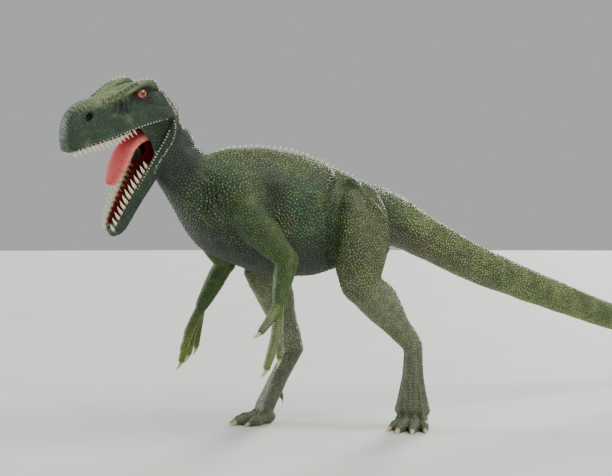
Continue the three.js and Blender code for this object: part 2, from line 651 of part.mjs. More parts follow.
for (const [name, arm] of Object.entries(ARMS)) {
  const forms = armForms(arm);
  const digits = arm.fingers.map(({ path, radius }) => taper(
    [arm.wrist, ...path], [radius * 1.1, radius, radius * 0.72], { sides: 8, steps: 5, startDome: 10 },
  ));
  const hand = trim(join(digits.map((digit) => digit.body())), [forms.fore(GAP)]);
  animal.add(
    mesh(`upper_arm_${name}`, trim(forms.upper(), grownTrunk), SKIN),
    mesh(`forearm_${name}`, trim(forms.fore(), [forms.upper(GAP)]), SKIN),
    mesh(`hand_${name}`, hand, SKIN),
  );
  digits.forEach((digit, i) => {
    animal.add(mesh(`finger_claw_${name}_${i + 1}`, claw(digit, CLAW.finger, AHEAD), HORN));
  });
}

// The frame's origin is on the floor, under the middle of the whole animal
part.updateMatrixWorld(true);
const box = new THREE.Box3().setFromObject(part, true);
const middle = box.getCenter(new THREE.Vector3());
animal.position.set(-middle.x, -middle.y, -box.min.z);

export default part;
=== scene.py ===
import math
from itertools import product

import bpy
import numpy as np
from mathutils import Matrix, Vector
from mathutils.kdtree import KDTree


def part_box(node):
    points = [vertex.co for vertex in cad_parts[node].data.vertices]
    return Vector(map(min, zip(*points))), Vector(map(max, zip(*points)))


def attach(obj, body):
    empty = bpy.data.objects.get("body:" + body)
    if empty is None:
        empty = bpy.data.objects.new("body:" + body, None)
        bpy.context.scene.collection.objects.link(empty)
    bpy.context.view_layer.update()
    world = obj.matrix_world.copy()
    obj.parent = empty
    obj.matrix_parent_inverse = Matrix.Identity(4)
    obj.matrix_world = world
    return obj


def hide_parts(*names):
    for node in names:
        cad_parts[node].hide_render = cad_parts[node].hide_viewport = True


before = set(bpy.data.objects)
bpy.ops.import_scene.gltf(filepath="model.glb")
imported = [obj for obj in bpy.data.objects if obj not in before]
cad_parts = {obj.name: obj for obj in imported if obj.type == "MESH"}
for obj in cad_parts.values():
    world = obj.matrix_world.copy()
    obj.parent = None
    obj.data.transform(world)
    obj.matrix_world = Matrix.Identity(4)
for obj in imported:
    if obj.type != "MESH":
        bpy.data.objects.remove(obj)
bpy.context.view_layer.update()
mm = 0.001
draws = np.random.default_rng(11)

# Sizes below are millimetres in the animal's own frame: floor z 0, -X to the nose, -Y its left.
# Rows of stations: x, y, z, then half width, reach above and reach below.
spine = np.array([
    (-772, -13, 1248, 48, 70, 74),      # skull base
    (-733, -10, 1165, 64, 98, 104),
    (-702, -6, 1102, 80, 100, 110),
    (-640, -2, 1022, 118, 148, 112),    # neck root
    (-510, 0, 958, 176, 214, 208),
    (-310, 0, 914, 214, 253, 252),      # ribs
    (-120, 0, 888, 205, 248, 247),
    (90, 0, 880, 150, 190, 190),        # hips
    (300, 0, 880, 106, 124, 112),       # tail root
    (560, 0, 780, 88, 100, 84),
    (850, 0, 670, 76, 86, 86),
    (1300, 0, 525, 66, 75, 75),
    (1760, 0, 386, 56, 64, 64),
    (2170, 0, 290, 38, 42, 42),
    (2460, 0, 252, 21, 23, 23),
    (2730, 0, 240, 4, 4, 4),            # tail tip
], float)

# Head frame: origin at the jaw joint. Rows: forward, half width, top, low.
skullRows = np.array([
    (-42, 50, 62, -6), (-12, 70, 102, 4), (25, 82, 140, 12), (75, 86, 163, 12), (130, 80, 168, 9),
    (190, 68, 159, 3), (255, 61, 151, -5), (315, 57, 147, -8), (365, 53, 138, -10),
    (402, 49, 114, -13), (424, 42, 80, -17), (436, 33, 42, -18),
], float)
jawRows = np.array([
    (-34, 52, -6, -56), (0, 74, 6, -84), (70, 80, 8, -92), (150, 72, 8, -82), (250, 61, 8, -66),
    (360, 51, 8, -54), (440, 42, 6, -50), (472, 30, 0, -40), (484, 16, -10, -28),
], float)
headPose = {"joint": (-765, -12, 1258), "yaw": 12, "pitch": -18, "roll": 10, "gape": 48}
eyeball = {"forward": 120, "out": 62, "up": 132, "radius": 20, "turn": 12}

legs = {
    "left": {"hip": (62, -128, 960), "knee": (28, -206, 604), "ankle": (276, -240, 338),
             "toes": (254, -262, 74), "heading": 40, "side": 1},
    "right": {"hip": (52, 128, 955), "knee": (-232, 160, 652), "ankle": (-84, 152, 312),
              "toes": (-216, 182, 70), "heading": -16, "side": -1},
}
toeRows = [(-44, 104, 21), (-14, 122, 23), (14, 116, 23), (44, 100, 21)]    # turn, length, radius
footSizes = {"spread": 62, "sole": 0.8, "padRadius": 48, "padHalf": 36, "padUp": 28, "padBack": 6,
             "spurUp": 92, "spurLength": 52, "spurRadius": 12}
arms = {
    "left": {"shoulder": (-490, -158, 905), "elbow": (-330, -222, 716), "wrist": (-392, -270, 552),
             "side": 1,
             "fingers": [(((-448, -300, 490), (-502, -326, 446)), 17),
                         (((-420, -294, 420), (-466, -308, 308)), 19),
                         (((-388, -260, 440), (-382, -256, 340)), 17)]},
    "right": {"shoulder": (-500, 158, 880), "elbow": (-388, 208, 694), "wrist": (-494, 220, 512),
              "side": -1,
              "fingers": [(((-556, 204, 408), (-590, 206, 290)), 18),
                          (((-526, 232, 408), (-540, 246, 314)), 19),
                          (((-492, 254, 424), (-494, 270, 340)), 17)]},
}


def turning(axis, degrees):
    return np.array(Matrix.Rotation(math.radians(degrees), 3, axis))


headTurn = turning("Z", headPose["yaw"]) @ turning("Y", headPose["pitch"]) @ turning("X", headPose["roll"])
jawTurn = headTurn @ turning("Y", -headPose["gape"])


def headToBody(points):
    return np.asarray(points, float) @ headTurn.T + headPose["joint"]


def jawToBody(points):
    return np.asarray(points, float) @ jawTurn.T + headPose["joint"]


def eyeSpot(side):
    return headToBody((-eyeball["forward"], -side * eyeball["out"], eyeball["up"]))


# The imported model's origin is elsewhere, so the left eye tells how far the animal's frame is moved
eyeLow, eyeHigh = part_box("eye_left")
shift = (np.array(eyeLow) + np.array(eyeHigh)) / 2 - eyeSpot(1) * mm


def toRow(points):
    return np.asarray(points, float) * mm + shift


def smooth(value, start, end):
    t = np.clip((value - start) / (end - start), 0, 1)
    return t * t * (3 - 2 * t)


def unit(v):
    v = np.asarray(v, float)
    return v / np.maximum(np.linalg.norm(v, axis=-1, keepdims=True), 1e-9)


def lerp(a, b, t):
    return np.asarray(a, float) + (np.asarray(b, float) - np.asarray(a, float)) * t


def tone(code):
    srgb = np.array([int(code[i:i + 2], 16) for i in (0, 2, 4)]) / 255
    return np.where(srgb <= 0.04045, srgb / 12.92, ((srgb + 0.055) / 1.055) ** 2.4)


# Smooth soft lumps over space, from -1 to 1
def lumps(points, size, seed):
    q = points / size + seed * 31.7
    cell = np.floor(q).astype(np.int64)
    f = q - cell
    f = f * f * (3 - 2 * f)
    total = np.zeros(len(points))
    for corner in product((0, 1), repeat=3):
        c = cell + corner
        mixed = (c[:, 0] * 73856093) ^ (c[:, 1] * 19349663) ^ (c[:, 2] * 83492791) ^ (seed * 2654435)
        mixed = (mixed ^ (mixed >> 13)) * 1274126177
        weight = np.prod(np.where(corner, f, 1 - f), axis=1)
        total += weight * ((mixed >> 7) & 1023) / 1023
    return total * 2 - 1


# A curve through given points. Evenness 0.5 keeps long and short spans smooth alike.
def throughPoints(points, u, evenness=0.0):
    points = np.asarray(points, float)
    padded = np.vstack([2 * points[0] - points[1], points, 2 * points[-1] - points[-2]])
    u = np.clip(np.atleast_1d(u), 0, len(points) - 1)
    i = np.minimum(np.floor(u).astype(int), len(points) - 2)
    t = (u - i)[:, None]
    p0, p1, p2, p3 = (padded[i + k] for k in range(4))
    if evenness:
        d0, d1, d2 = (np.linalg.norm(b - a, axis=1, keepdims=True) ** evenness
                      for a, b in ((p0, p1), (p1, p2), (p2, p3)))
        m1 = d1 * ((p1 - p0) / d0 - (p2 - p0) / (d0 + d1) + (p2 - p1) / d1)
        m2 = d1 * ((p2 - p1) / d1 - (p3 - p1) / (d1 + d2) + (p3 - p2) / d2)
    else:
        m1, m2 = (p2 - p0) / 2, (p3 - p1) / 2
    return (p1 + m1 * t + (-3 * p1 + 3 * p2 - 2 * m1 - m2) * t ** 2
            + (2 * p1 - 2 * p2 + m1 + m2) * t ** 3)


# Frames and half sizes along a run of stations
def sectionsAt(stations, u, across=(0, 1, 0), facing=None):
    u = np.atleast_1d(np.asarray(u, float))
    middle = throughPoints(stations[:, :3], u, 0.5)
    size = throughPoints(stations[:, 3:], u)
    if facing is None:
        after, before = (throughPoints(stations[:, :3], u + step, 0.5) for step in (1e-3, -1e-3))
        along = unit(after - before)
    else:
        along = np.tile(np.asarray(facing, float), (len(u), 1))
    across = np.asarray(across, float)
    side = unit(across - (along @ across)[:, None] * along)
    return {"middle": middle, "along": along, "side": side, "up": np.cross(along, side), "size": size}


# The outline of a section with evenly spread points; more than 2 is boxier
def outline(sides, squareAbove=2.0, squareBelow=2.0):
    turn = np.linspace(0, 2 * math.pi, 1441)
    power = np.where(np.sin(turn) > 0, 2 / squareAbove, 2 / squareBelow)
    x = np.sign(np.cos(turn)) * np.abs(np.cos(turn)) ** power
    y = np.sign(np.sin(turn)) * np.abs(np.sin(turn)) ** power
    walked = np.concatenate([[0], np.cumsum(np.hypot(np.diff(x), np.diff(y)))])
    even = np.linspace(0, walked[-1], sides, endpoint=False)
    return np.stack([np.interp(even, walked, x), np.interp(even, walked, y)], axis=1)


def ringsOf(stations, u, shape, domes=(0, 0), across=(0, 1, 0), facing=None, domeSteps=4):
    rows, onward, share = list(u), [0] * len(u), [1] * len(u)
    for k in range(1, domeSteps + 1):
        turn = k / (domeSteps + 0.25) * math.pi / 2
        if domes[0]:
            rows.insert(0, u[0])
            onward.insert(0, -domes[0] * math.sin(turn))
            share.insert(0, math.cos(turn))
        if domes[1]:
            rows.append(u[-1])
            onward.append(domes[1] * math.sin(turn))
            share.append(math.cos(turn))
    s = sectionsAt(stations, rows, across, facing)
    middle = s["middle"] + s["along"] * np.array(onward)[:, None]
    share = np.array(share)[:, None]
    rise = np.where(shape[:, 1] > 0, s["size"][:, 1:2], s["size"][:, 2:3]) * shape[:, 1] * share
    wide = s["size"][:, 0:1] * shape[:, 0] * share
    return middle[:, None] + s["side"][:, None] * wide[..., None] + s["up"][:, None] * rise[..., None]


# An even tube along the whole of a run
def tubeOver(run, steps, sides, domes, across=(0, 1, 0)):
    return ringsOf(run, np.linspace(0, len(run) - 1, steps), outline(sides), domes, across)


# How far along a path each of its points lies
def walkedAlong(path):
    return np.concatenate([[0], np.cumsum(np.linalg.norm(np.diff(path, axis=0), axis=1))])


# A form is points, face sets and a 0 to 1 mark from root to tip
def skinOver(rings, closed=False):
    count, sides = rings.shape[:2]
    r, i = np.meshgrid(np.arange(count if closed else count - 1), np.arange(sides), indexing="ij")
    a, b = r * sides + i, r * sides + (i + 1) % sides
    c, d = (a + sides) % (count * sides), (b + sides) % (count * sides)     # closed: last ring meets first
    faces = [np.stack([a, b, d, c], axis=-1).reshape(-1, 4)]
    verts = rings.reshape(-1, 3)
    marks = np.repeat(np.linspace(0, 1, count), sides)
    if not closed:
        verts = np.vstack([verts, rings[0].mean(0), rings[-1].mean(0)])
        marks = np.append(marks, [0, 1])
        j = np.arange(sides)
        k, end, n = (j + 1) % sides, (count - 1) * sides, count * sides
        faces.append(np.stack([np.full(sides, n), k, j], axis=1))
        faces.append(np.stack([np.full(sides, n + 1), end + j, end + k], axis=1))
    return verts, faces, marks


def joined(forms):
    verts, faces, marks, base = [], {}, [], 0
    for points, sets, mark in forms:
        for f in sets:
            faces.setdefault(f.shape[1], []).append(f + base)
        verts.append(points)
        marks.append(mark)
        base += len(points)
    return np.vstack(verts), [np.vstack(f) for f in faces.values()], np.concatenate(marks)


def placed(form, placing):
    verts, faces, marks = form
    return placing(verts), faces, marks


def makeMesh(name, verts, faceSets):
    mesh = bpy.data.meshes.new(name)
    mesh.vertices.add(len(verts))
    mesh.vertices.foreach_set("co", np.ascontiguousarray(verts, np.float32).ravel())
    corners = np.concatenate([f.ravel() for f in faceSets]).astype(np.int32)
    totals = np.concatenate([np.full(len(f), f.shape[1]) for f in faceSets])
    mesh.loops.add(len(corners))
    mesh.loops.foreach_set("vertex_index", corners)
    mesh.polygons.add(len(totals))
    mesh.polygons.foreach_set("loop_start", np.concatenate([[0], np.cumsum(totals)[:-1]]).astype(np.int32))
    mesh.update(calc_edges=True)
    mesh.shade_smooth()
    return mesh


def storeMark(mesh, name, values):
    kind = "FLOAT_COLOR" if np.ndim(values) == 2 else "FLOAT"
    layer = mesh.attributes.new(name, kind, "POINT")
    if kind == "FLOAT":
        layer.data.foreach_set("value", np.asarray(values, np.float32))
    else:
        rgba = np.hstack([values, np.ones((len(values), 1))])
        layer.data.foreach_set("color", rgba.astype(np.float32).ravel())


def addPiece(name, form, material, stands=()):
    verts, faces, marks = form
    mesh = makeMesh(name, toRow(verts), faces)
    storeMark(mesh, "along", marks)
    return placePiece(name, mesh, material, stands)


def placePiece(name, mesh, material, stands=()):
    piece = bpy.data.objects.new(name, mesh)
    bpy.context.scene.collection.objects.link(piece)
    mesh.materials.append(material)
    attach(piece, "root")
    if stands:
        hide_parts(*stands)
    return piece


# A horn, tooth or spine that tapers and bends as it goes
def curvedCone(root, axis, bend, length, radius, curve=0.2, power=(1.5, 0.9), sides=9, steps=7, sunk=0.2,
               flat=1.0):
    t = np.concatenate([[-sunk], np.linspace(0, 1, steps)])
    grown = np.clip(t, 0, 1)
    axis = unit(axis)
    bend = unit(np.asarray(bend, float) - np.dot(bend, axis) * axis)
    line = np.asarray(root) + axis * (length * t)[:, None] + bend * (length * curve * grown ** 2)[:, None]
    thick = radius * np.maximum((1 - grown ** power[0]) ** power[1], 0.04)
    side = np.cross(axis, bend)
    tangent = unit(axis + bend * (2 * curve * grown)[:, None])
    other = np.cross(tangent, side)
    turn = np.linspace(0, 2 * math.pi, sides, endpoint=False)
    rings = (line[:, None] + side * (np.cos(turn) * thick[:, None] * flat)[..., None]
             + other[:, None] * (np.sin(turn) * thick[:, None])[..., None])
    verts, faces, _ = skinOver(rings)
    return verts, faces, np.append(np.repeat(grown, sides), [0, 1])


# A low rounded bead lying on the skin
def bead(root, normal, lie, radius, height, stretch=1.0, sides=9, steps=4):
    normal = unit(normal)
    lie = unit(np.asarray(lie, float) - np.dot(lie, normal) * normal)
    other = np.cross(normal, lie)
    turn = np.linspace(0, 2 * math.pi, sides, endpoint=False)
    swing = np.linspace(-0.35, 1.45, steps)
    flat = lie * (np.cos(turn) * stretch)[:, None] + other * np.sin(turn)[:, None]
    rings = (np.asarray(root) + flat[None] * (radius * np.cos(swing))[:, None, None]
             + normal * (height * np.sin(swing))[:, None, None])
    verts, faces, _ = skinOver(rings)
    return verts, faces, np.append(np.repeat(np.clip(np.sin(swing), 0, 1), sides), [0, 1])


def limbRun(points, radii):
    rows = [(*p, *(r if isinstance(r, tuple) else (r, r, r))) for p, r in zip(points, radii)]
    return np.array(rows, float)


print("stage: runs of the limbs")
headingOf = {name: math.radians(leg["heading"]) for name, leg in legs.items()}


def legRuns(leg):
    hip, knee, ankle, toes = (np.array(leg[k], float) for k in ("hip", "knee", "ankle", "toes"))
    heading = math.radians(leg["heading"])
    across = np.array([-math.sin(heading), math.cos(heading), 0])
    thigh = limbRun(
        [(hip[0] + 4, hip[1] * 0.9, hip[2] + 30), lerp(hip, knee, 0.14), lerp(hip, knee, 0.56), knee],
        [(66, 106, 112), (86, 138, 146), (88, 134, 140), (66, 82, 84)])
    shank = limbRun(
        [lerp(knee, ankle, -0.08), lerp(knee, ankle, 0.28), lerp(knee, ankle, 0.62), ankle],
        [(60, 64, 72), (63, 102, 66), (49, 68, 50), (36, 42, 36)])
    instep = limbRun(
        [lerp(ankle, toes, -0.04), lerp(ankle, toes, 0.45), toes],
        [(37, 42, 36), (46, 38, 34), (76, 44, 30)])
    digits = []
    for turn, length, radius in toeRows:
        angle = heading + leg["side"] * math.radians(turn)
        ahead = np.array([-math.cos(angle), -math.sin(angle), 0])
        tip = radius * 0.66

        def lie(share, high):
            apart = -leg["side"] * math.sin(math.radians(turn)) * footSizes["spread"] * (1 - share)
            place = toes + ahead * length * share + across * apart
            return (place[0], place[1], high)

        points = [lie(-0.05, toes[2] * 0.8), lie(0.3, radius * 1.1),
                  lie(0.66, radius * footSizes["sole"]), lie(1, tip * footSizes["sole"])]
        digits.append({"run": limbRun(points, [radius * 1.05, radius, radius * 0.92, tip]),
                       "across": (ahead[1], -ahead[0], 0), "back": (0, 0, 1), "down": (0, 0, -1)})
    angle = heading + leg["side"] * math.radians(150)
    back = np.array([-math.cos(angle), -math.sin(angle), 0])
    root = lerp(ankle, toes, 1 - footSizes["spurUp"] / ankle[2])
    long, thick = footSizes["spurLength"], footSizes["spurRadius"]
    points = [root + back * long * s + np.array([0, 0, rise])
              for s, rise in ((0, 10), (0.75, -4), (1.1, -long * 0.8))]
    digits.append({"run": limbRun(points, [thick * 1.3, thick, thick * 0.7]),
                   "across": (back[1], -back[0], 0), "back": back, "down": (0, 0, -1)})
    return {"thigh": thigh, "shank": shank, "instep": instep, "across": across, "digits": digits}


def armRuns(arm):
    shoulder, elbow, wrist = (np.array(arm[k], float) for k in ("shoulder", "elbow", "wrist"))
    upper = limbRun([shoulder, lerp(shoulder, elbow, 0.5), elbow],
                    [(58, 70, 74), (54, 58, 62), (41, 44, 42)])
    fore = limbRun([lerp(elbow, wrist, -0.06), lerp(elbow, wrist, 0.35), wrist],
                   [(38, 42, 38), (38, 40, 40), (24, 27, 27)])
    digits = []
    for path, radius in arm["fingers"]:
        outward = np.array([-0.55, -0.8 * arm["side"], 0.2])
        digits.append({"run": limbRun([wrist, *path], [radius * 1.1, radius, radius * 0.72]),
                       "across": (0, 1, 0), "back": outward, "down": (-1, 0, 0)})
    return {"upper": upper, "fore": fore, "digits": digits}


legForms = {name: legRuns(leg) for name, leg in legs.items()}
armForms = {name: armRuns(arm) for name, arm in arms.items()}
jawFacing = (1, 0, 0)


def jawRun(rows):
    half = (rows[:, 2] - rows[:, 3]) / 2
    run = np.stack([-rows[:, 0], 0 * half, rows[:, 3] + half, rows[:, 1], half, half], axis=1)
    return run[::-1]


skullRun, mandibleRun = jawRun(skullRows), jawRun(jawRows)
mouth = {"wall": 15, "palateDepth": 42, "palateFrom": 10, "palateTo": 408,
         "floorDepth": 44, "floorFrom": 10, "floorTo": 446,
         "lipRadius": 7.5, "lipShare": 0.91, "toothShare": 0.8, "square": 5}


def rowAt(rows, forward):
    return [np.interp(forward, rows[:, 0], rows[:, k]) for k in (1, 2, 3)]


# How far the roof or the floor of the mouth is hollowed at a place
def hollowAt(rows, forward, left, depth, start, end):
    wide = rowAt(rows, forward)[0] - mouth["wall"]
    bowl = np.clip(1 - (left / np.maximum(wide, 1)) ** 2, 0, 1) ** 0.55
    return depth * bowl * smooth(forward, end + 6, end - 40) * smooth(forward, start - 30, start)


def jawRings(run, rows, upper):
    square = (2.3, mouth["square"]) if upper else (mouth["square"], 2.3)
    u = np.linspace(0, len(run) - 1, 90)
    rings = ringsOf(run, u, outline(120, *square), (4, 26) if upper else (6, 22), facing=jawFacing)
    forward, left = -rings[..., 0], rings[..., 1]
    _, top, low = rowAt(rows, forward)
    middle = (top + low) / 2
    if upper:
        hollow = hollowAt(rows, forward, left, mouth["palateDepth"], mouth["palateFrom"], mouth["palateTo"])
        rings[..., 2] += np.where(rings[..., 2] < middle, hollow, 0)
    else:
        hollow = hollowAt(rows, forward, left, mouth["floorDepth"], mouth["floorFrom"], mouth["floorTo"])
        rings[..., 2] -= np.where(rings[..., 2] > middle, hollow, 0)
    return rings


# A point on the rounded edge of a jaw, at a share of its half width; sign is up for the lower jaw
def lipPoint(rows, forward, side, share, sign):
    wide, top, low = rowAt(rows, forward)
    fall = (top - low) / 2 * (1 - (1 - share ** mouth["square"]) ** (1 / mouth["square"]))
    return np.array([-forward, -side * wide * share, top - fall if sign > 0 else low + fall])


browRows = [(268, 46, 132, 9), (210, 60, 146, 13), (150, 67, 162, 16), (95, 69, 164, 15), (42, 68, 142, 9)]


def browRun(side):
    return limbRun([(-f, -side * out, up) for f, out, up, _ in browRows], [r for *_, r in browRows])


# The web of skin between the lips at a corner of the mouth, as a slab between two widths
def mouthWeb(reach, hollow, inner, outer, turns=10):
    gape = math.radians(headPose["gape"])
    low = np.array([math.cos(gape), -math.sin(gape)]) * reach + (-20, -16)
    bend = np.array([math.cos(gape / 2), -math.sin(gape / 2)]) * reach * hollow
    start = np.array([reach, 30])
    t = np.linspace(0, 1, turns)[:, None]
    front = (1 - t) ** 2 * start + 2 * t * (1 - t) * bend + t ** 2 * low
    back = np.stack([np.full(turns, -24), np.linspace(30, -40, turns)], axis=1)
    strip = np.concatenate([back, front[::-1]])
    flat = np.stack([-strip[:, 0], np.zeros(len(strip)), strip[:, 1]], axis=1)
    rings = np.stack([flat + (0, -inner, 0), flat + (0, -outer, 0)])
    count = len(strip)
    j = np.arange(count)
    k = (j + 1) % count
    sides = np.stack([j, k, k + count, j + count], axis=1)
    h = np.arange(turns - 1)
    cap = np.stack([h, h + 1, 2 * turns - 2 - h, 2 * turns - 1 - h], axis=1)
    return rings.reshape(-1, 3), [np.vstack([sides, cap[:, ::-1], cap + count])], np.zeros(2 * count)


print("stage: base of the skin")
skinSizes = {"voxel": 0.0037, "triangles": 196000, "floorGap": 0.4, "cheek": (46, 57), "cheekReach": 165,
             "cheekHollow": 0.62, "throat": 50, "throatReach": 92, "throatHollow": 0.9}


def solePad(name):
    toes, angle = np.array(legs[name]["toes"], float), headingOf[name]
    back = np.array([math.cos(angle), math.sin(angle), 0]) * footSizes["padBack"]
    swing = np.linspace(-1.5, 1.5, 12)
    turn = np.linspace(0, 2 * math.pi, 24, endpoint=False)
    flat = np.stack([np.cos(turn), np.sin(turn), 0 * turn], axis=1) * footSizes["padRadius"]
    return (np.array([toes[0], toes[1], footSizes["padUp"]]) + back
            + flat[None] * np.cos(swing)[:, None, None]
            + np.array([0, 0, footSizes["padHalf"]]) * np.sin(swing)[:, None, None])


def aboveFloor(rings):
    rings[..., 2] = np.maximum(rings[..., 2], skinSizes["floorGap"])
    return rings


def headForms():
    forms = [placed(skinOver(jawRings(skullRun, skullRows, True)), headToBody),
             placed(skinOver(jawRings(mandibleRun, jawRows, False)), jawToBody)]
    lips = ((skullRows, (40, 420), -1, headToBody), (jawRows, (60, 455), 1, jawToBody))
    for side in (1, -1):
        for rows, reach, sign, placing in lips:
            line = [lipPoint(rows, f, side, mouth["lipShare"], sign) for f in np.linspace(*reach, 14)]
            rings = tubeOver(limbRun(line, [mouth["lipRadius"]] * len(line)), 60, 10, (5, 5))
            forms.append(placed(skinOver(rings), placing))
        forms.append(placed(skinOver(tubeOver(browRun(side), 40, 16, (6, 6))), headToBody))
        inner, outer = skinSizes["cheek"] if side > 0 else [-out for out in skinSizes["cheek"][::-1]]
        web = mouthWeb(skinSizes["cheekReach"], skinSizes["cheekHollow"], inner, outer)
        forms.append(placed(web, headToBody))
    return forms


def baseForms():
    forms = [skinOver(ringsOf(spine, np.linspace(0, len(spine) - 1, 300), outline(72, 2.15, 2.15)))]
    forms += headForms()
    for name, leg in legForms.items():
        forms.append(skinOver(tubeOver(leg["thigh"], 60, 48, (40, 44))))
        forms.append(skinOver(tubeOver(leg["shank"], 60, 40, (30, 22))))
        forms.append(skinOver(tubeOver(leg["instep"], 40, 40, (24, 34), leg["across"])))
        forms.append(skinOver(aboveFloor(solePad(name))))
        for digit in leg["digits"]:
            forms.append(skinOver(aboveFloor(tubeOver(digit["run"], 30, 20, (0, 8), digit["across"]))))
    for arm in armForms.values():
        forms.append(skinOver(tubeOver(arm["upper"], 40, 36, (40, 26))))
        forms.append(skinOver(tubeOver(arm["fore"], 40, 32, (22, 14))))
        for digit in arm["digits"]:
            forms.append(skinOver(tubeOver(digit["run"], 30, 20, (10, 8), digit["across"])))
    return joined(forms)


def readMesh(mesh):
    verts = np.empty(len(mesh.vertices) * 3, np.float32)
    mesh.vertices.foreach_get("co", verts)
    normals = np.empty(len(mesh.vertices) * 3, np.float32)
    mesh.vertex_normals.foreach_get("vector", normals)
    edges = np.empty(len(mesh.edges) * 2, np.int32)
    mesh.edges.foreach_get("vertices", edges)
    return (verts.reshape(-1, 3).astype(float), normals.reshape(-1, 3).astype(float), edges.reshape(-1, 2))


# Evens the skin out; the second push back keeps thin parts from shrinking
def relax(verts, edges, rounds, strength, keep=0.0):
    a, b = edges[:, 0], edges[:, 1]
    count = len(verts)
    degree = np.maximum(np.bincount(edges.ravel(), minlength=count), 1)[:, None]
    for _ in range(rounds):
        for push in ((1.0, -keep) if keep else (1.0,)):
            total = np.stack([np.bincount(a, verts[b, k], count) + np.bincount(b, verts[a, k], count)
                              for k in range(3)], axis=1)
            verts = verts + strength * push * (total / degree - verts)
    return verts


verts, faces, _ = baseForms()
base = bpy.data.objects.new("base", makeMesh("base", toRow(verts), faces))
bpy.context.scene.collection.objects.link(base)
wrap = base.modifiers.new("wrap", "REMESH")
wrap.mode, wrap.voxel_size, wrap.use_smooth_shade = "VOXEL", skinSizes["voxel"], True
skinMesh = bpy.data.meshes.new_from_object(base.evaluated_get(bpy.context.evaluated_depsgraph_get()))
bpy.data.objects.remove(base)
points, normals, edges = readMesh(skinMesh)
print("stage: skin has", len(points), "points and", len(skinMesh.polygons), "faces")


# Balls strung along each part of the body, to tell which part a point belongs to
def chainOf(run, across=(0, 1, 0), count=24, facing=None):
    u = np.linspace(0, len(run) - 1, count)
    s = sectionsAt(run, u, across, facing)
    radius = (s["size"][:, 0] + (s["size"][:, 1] + s["size"][:, 2]) / 2) / 2
    return s["middle"], radius, u


def headChain(run, place):
    middle, radius, _ = chainOf(run, facing=jawFacing)
    return place(middle), radius, -middle[:, 0]


def merged(parts):
    return tuple(np.concatenate(column) for column in zip(*parts))


chains = {
    "spine": chainOf(spine, count=151),
    "skull": headChain(skullRun, headToBody),
    "jaw": headChain(mandibleRun, jawToBody),
    "thigh": merged([chainOf(leg["thigh"]) for leg in legForms.values()]),
    "shank": merged([chainOf(leg["shank"]) for leg in legForms.values()]),
    "foot": merged([chainOf(leg["instep"], leg["across"]) for leg in legForms.values()]
                   + [chainOf(d["run"], d["across"], 12)
                      for leg in legForms.values() for d in leg["digits"]]),
    "arm": merged([chainOf(arm[k]) for arm in armForms.values() for k in ("upper", "fore")]),
    "hand": merged([chainOf(d["run"], d["across"], 14)
                    for arm in armForms.values() for d in arm["digits"]]),
}


# Soft shares of each point in the parts, and where along each part it lies
def sharesOf(body):
    ratio, place = {}, {}
    for name, (middle, radius, u) in chains.items():
        best = np.full(len(body), 1e9, np.float32)
        where = np.zeros(len(body), np.float32)
        p = body.astype(np.float32)
        for c, r, at in zip(middle.astype(np.float32), radius, u):
            d = ((p - c) ** 2).sum(1) / np.float32(r * r)
            near = d < best
            best[near] = d[near]
            where[near] = at
        ratio[name], place[name] = np.sqrt(best), where
    weight = {k: np.exp(-9 * (np.minimum(r, 4) - 1)) for k, r in ratio.items()}
    total = sum(weight.values()) + 1e-12
    return {k: w / total for k, w in weight.items()}, place


def toBody(rowPoints):
    return (rowPoints - shift) / mm


body = toBody(points)
shares, place = sharesOf(body)
mixing = 1 - np.max(np.stack(list(shares.values())), axis=0)
evening = {"all": (5, 0.5, 1.04), "joins": 10, "shoulder": 60, "hinge": 24,      # rounds before the muscles
           "allAfter": (1, 0.3), "joinsAfter": 3, "shoulderAfter": 12}
points = relax(points, edges, *evening["all"])
offHead = (1 - shares["skull"]) * (1 - shares["jaw"])
points = relax(points, edges, evening["joins"], (0.5 * smooth(mixing, 0.05, 0.35) * offHead)[:, None])
shoulder = smooth(4 * shares["arm"] * shares["spine"], 0.02, 0.4)
points = relax(points, edges, evening["shoulder"], (0.5 * shoulder)[:, None])
hinge = shares["shank"] * (shares["foot"] + shares["thigh"]) + shares["arm"] * shares["hand"]
points = relax(points, edges, evening["hinge"], (0.5 * smooth(4 * hinge, 0.04, 0.5))[:, None])
print("stage: skin evened out")

# Muscles and folds, pushed in or out along the skin: a line of points, then reach and height
groinLine = [(-4, -107, 1069), (-46, -157, 1031), (-70, -181, 997), (-90, -198, 955), (-100, -202, 914),
             (-104, -202, 865), (-104, -196, 812), (-92, -176, 759), (-50, -119, 700)]
hipLine = [(9, -120, 1044), (37, -177, 1008), (77, -206, 958), (120, -218, 900), (149, -220, 825),
           (150, -222, 750)]
trunkStrokes = [
    ((-590, -105, 1095), (-455, -178, 985), 62, 10),     # shoulder blade
    ((-500, -190, 930), (-455, -200, 840), 55, 13),      # shoulder
    ((-600, -60, 905), (-520, -110, 790), 60, 12),       # breast
    ((-640, -105, 1060), (-560, -150, 900), 26, -8),     # hollow before the shoulder
    ((-420, -205, 1000), (-371, -205, 945), (-385, -210, 880), 34, -11),     # hollow behind the shoulder
    ((-690, -75, 1120), (-620, -110, 1010), 34, 8),      # neck cord
    ((-30, -140, 1080), (70, -130, 1070), 46, 14),       # hip bone
    (*groinLine, 34, -26),                               # fold before the thigh
    (*[(x + 66, y - 12, z) for x, y, z in groinLine[1:-1]], 42, 12),     # front of the thigh
    (*hipLine, 13, 9),                                   # rear edge of the thigh
    (*[(x + 34, y + 6, z - 10) for x, y, z in hipLine], 20, -10),
    (*[(x - 40, y, z + 4) for x, y, z in hipLine], 26, -7),
    ((190, -110, 960), (420, -85, 820), 40, 8),          # tail muscle
    ((260, -95, 850), (560, -84, 745), (850, -70, 655), 16, -5),     # groove along the tail
]
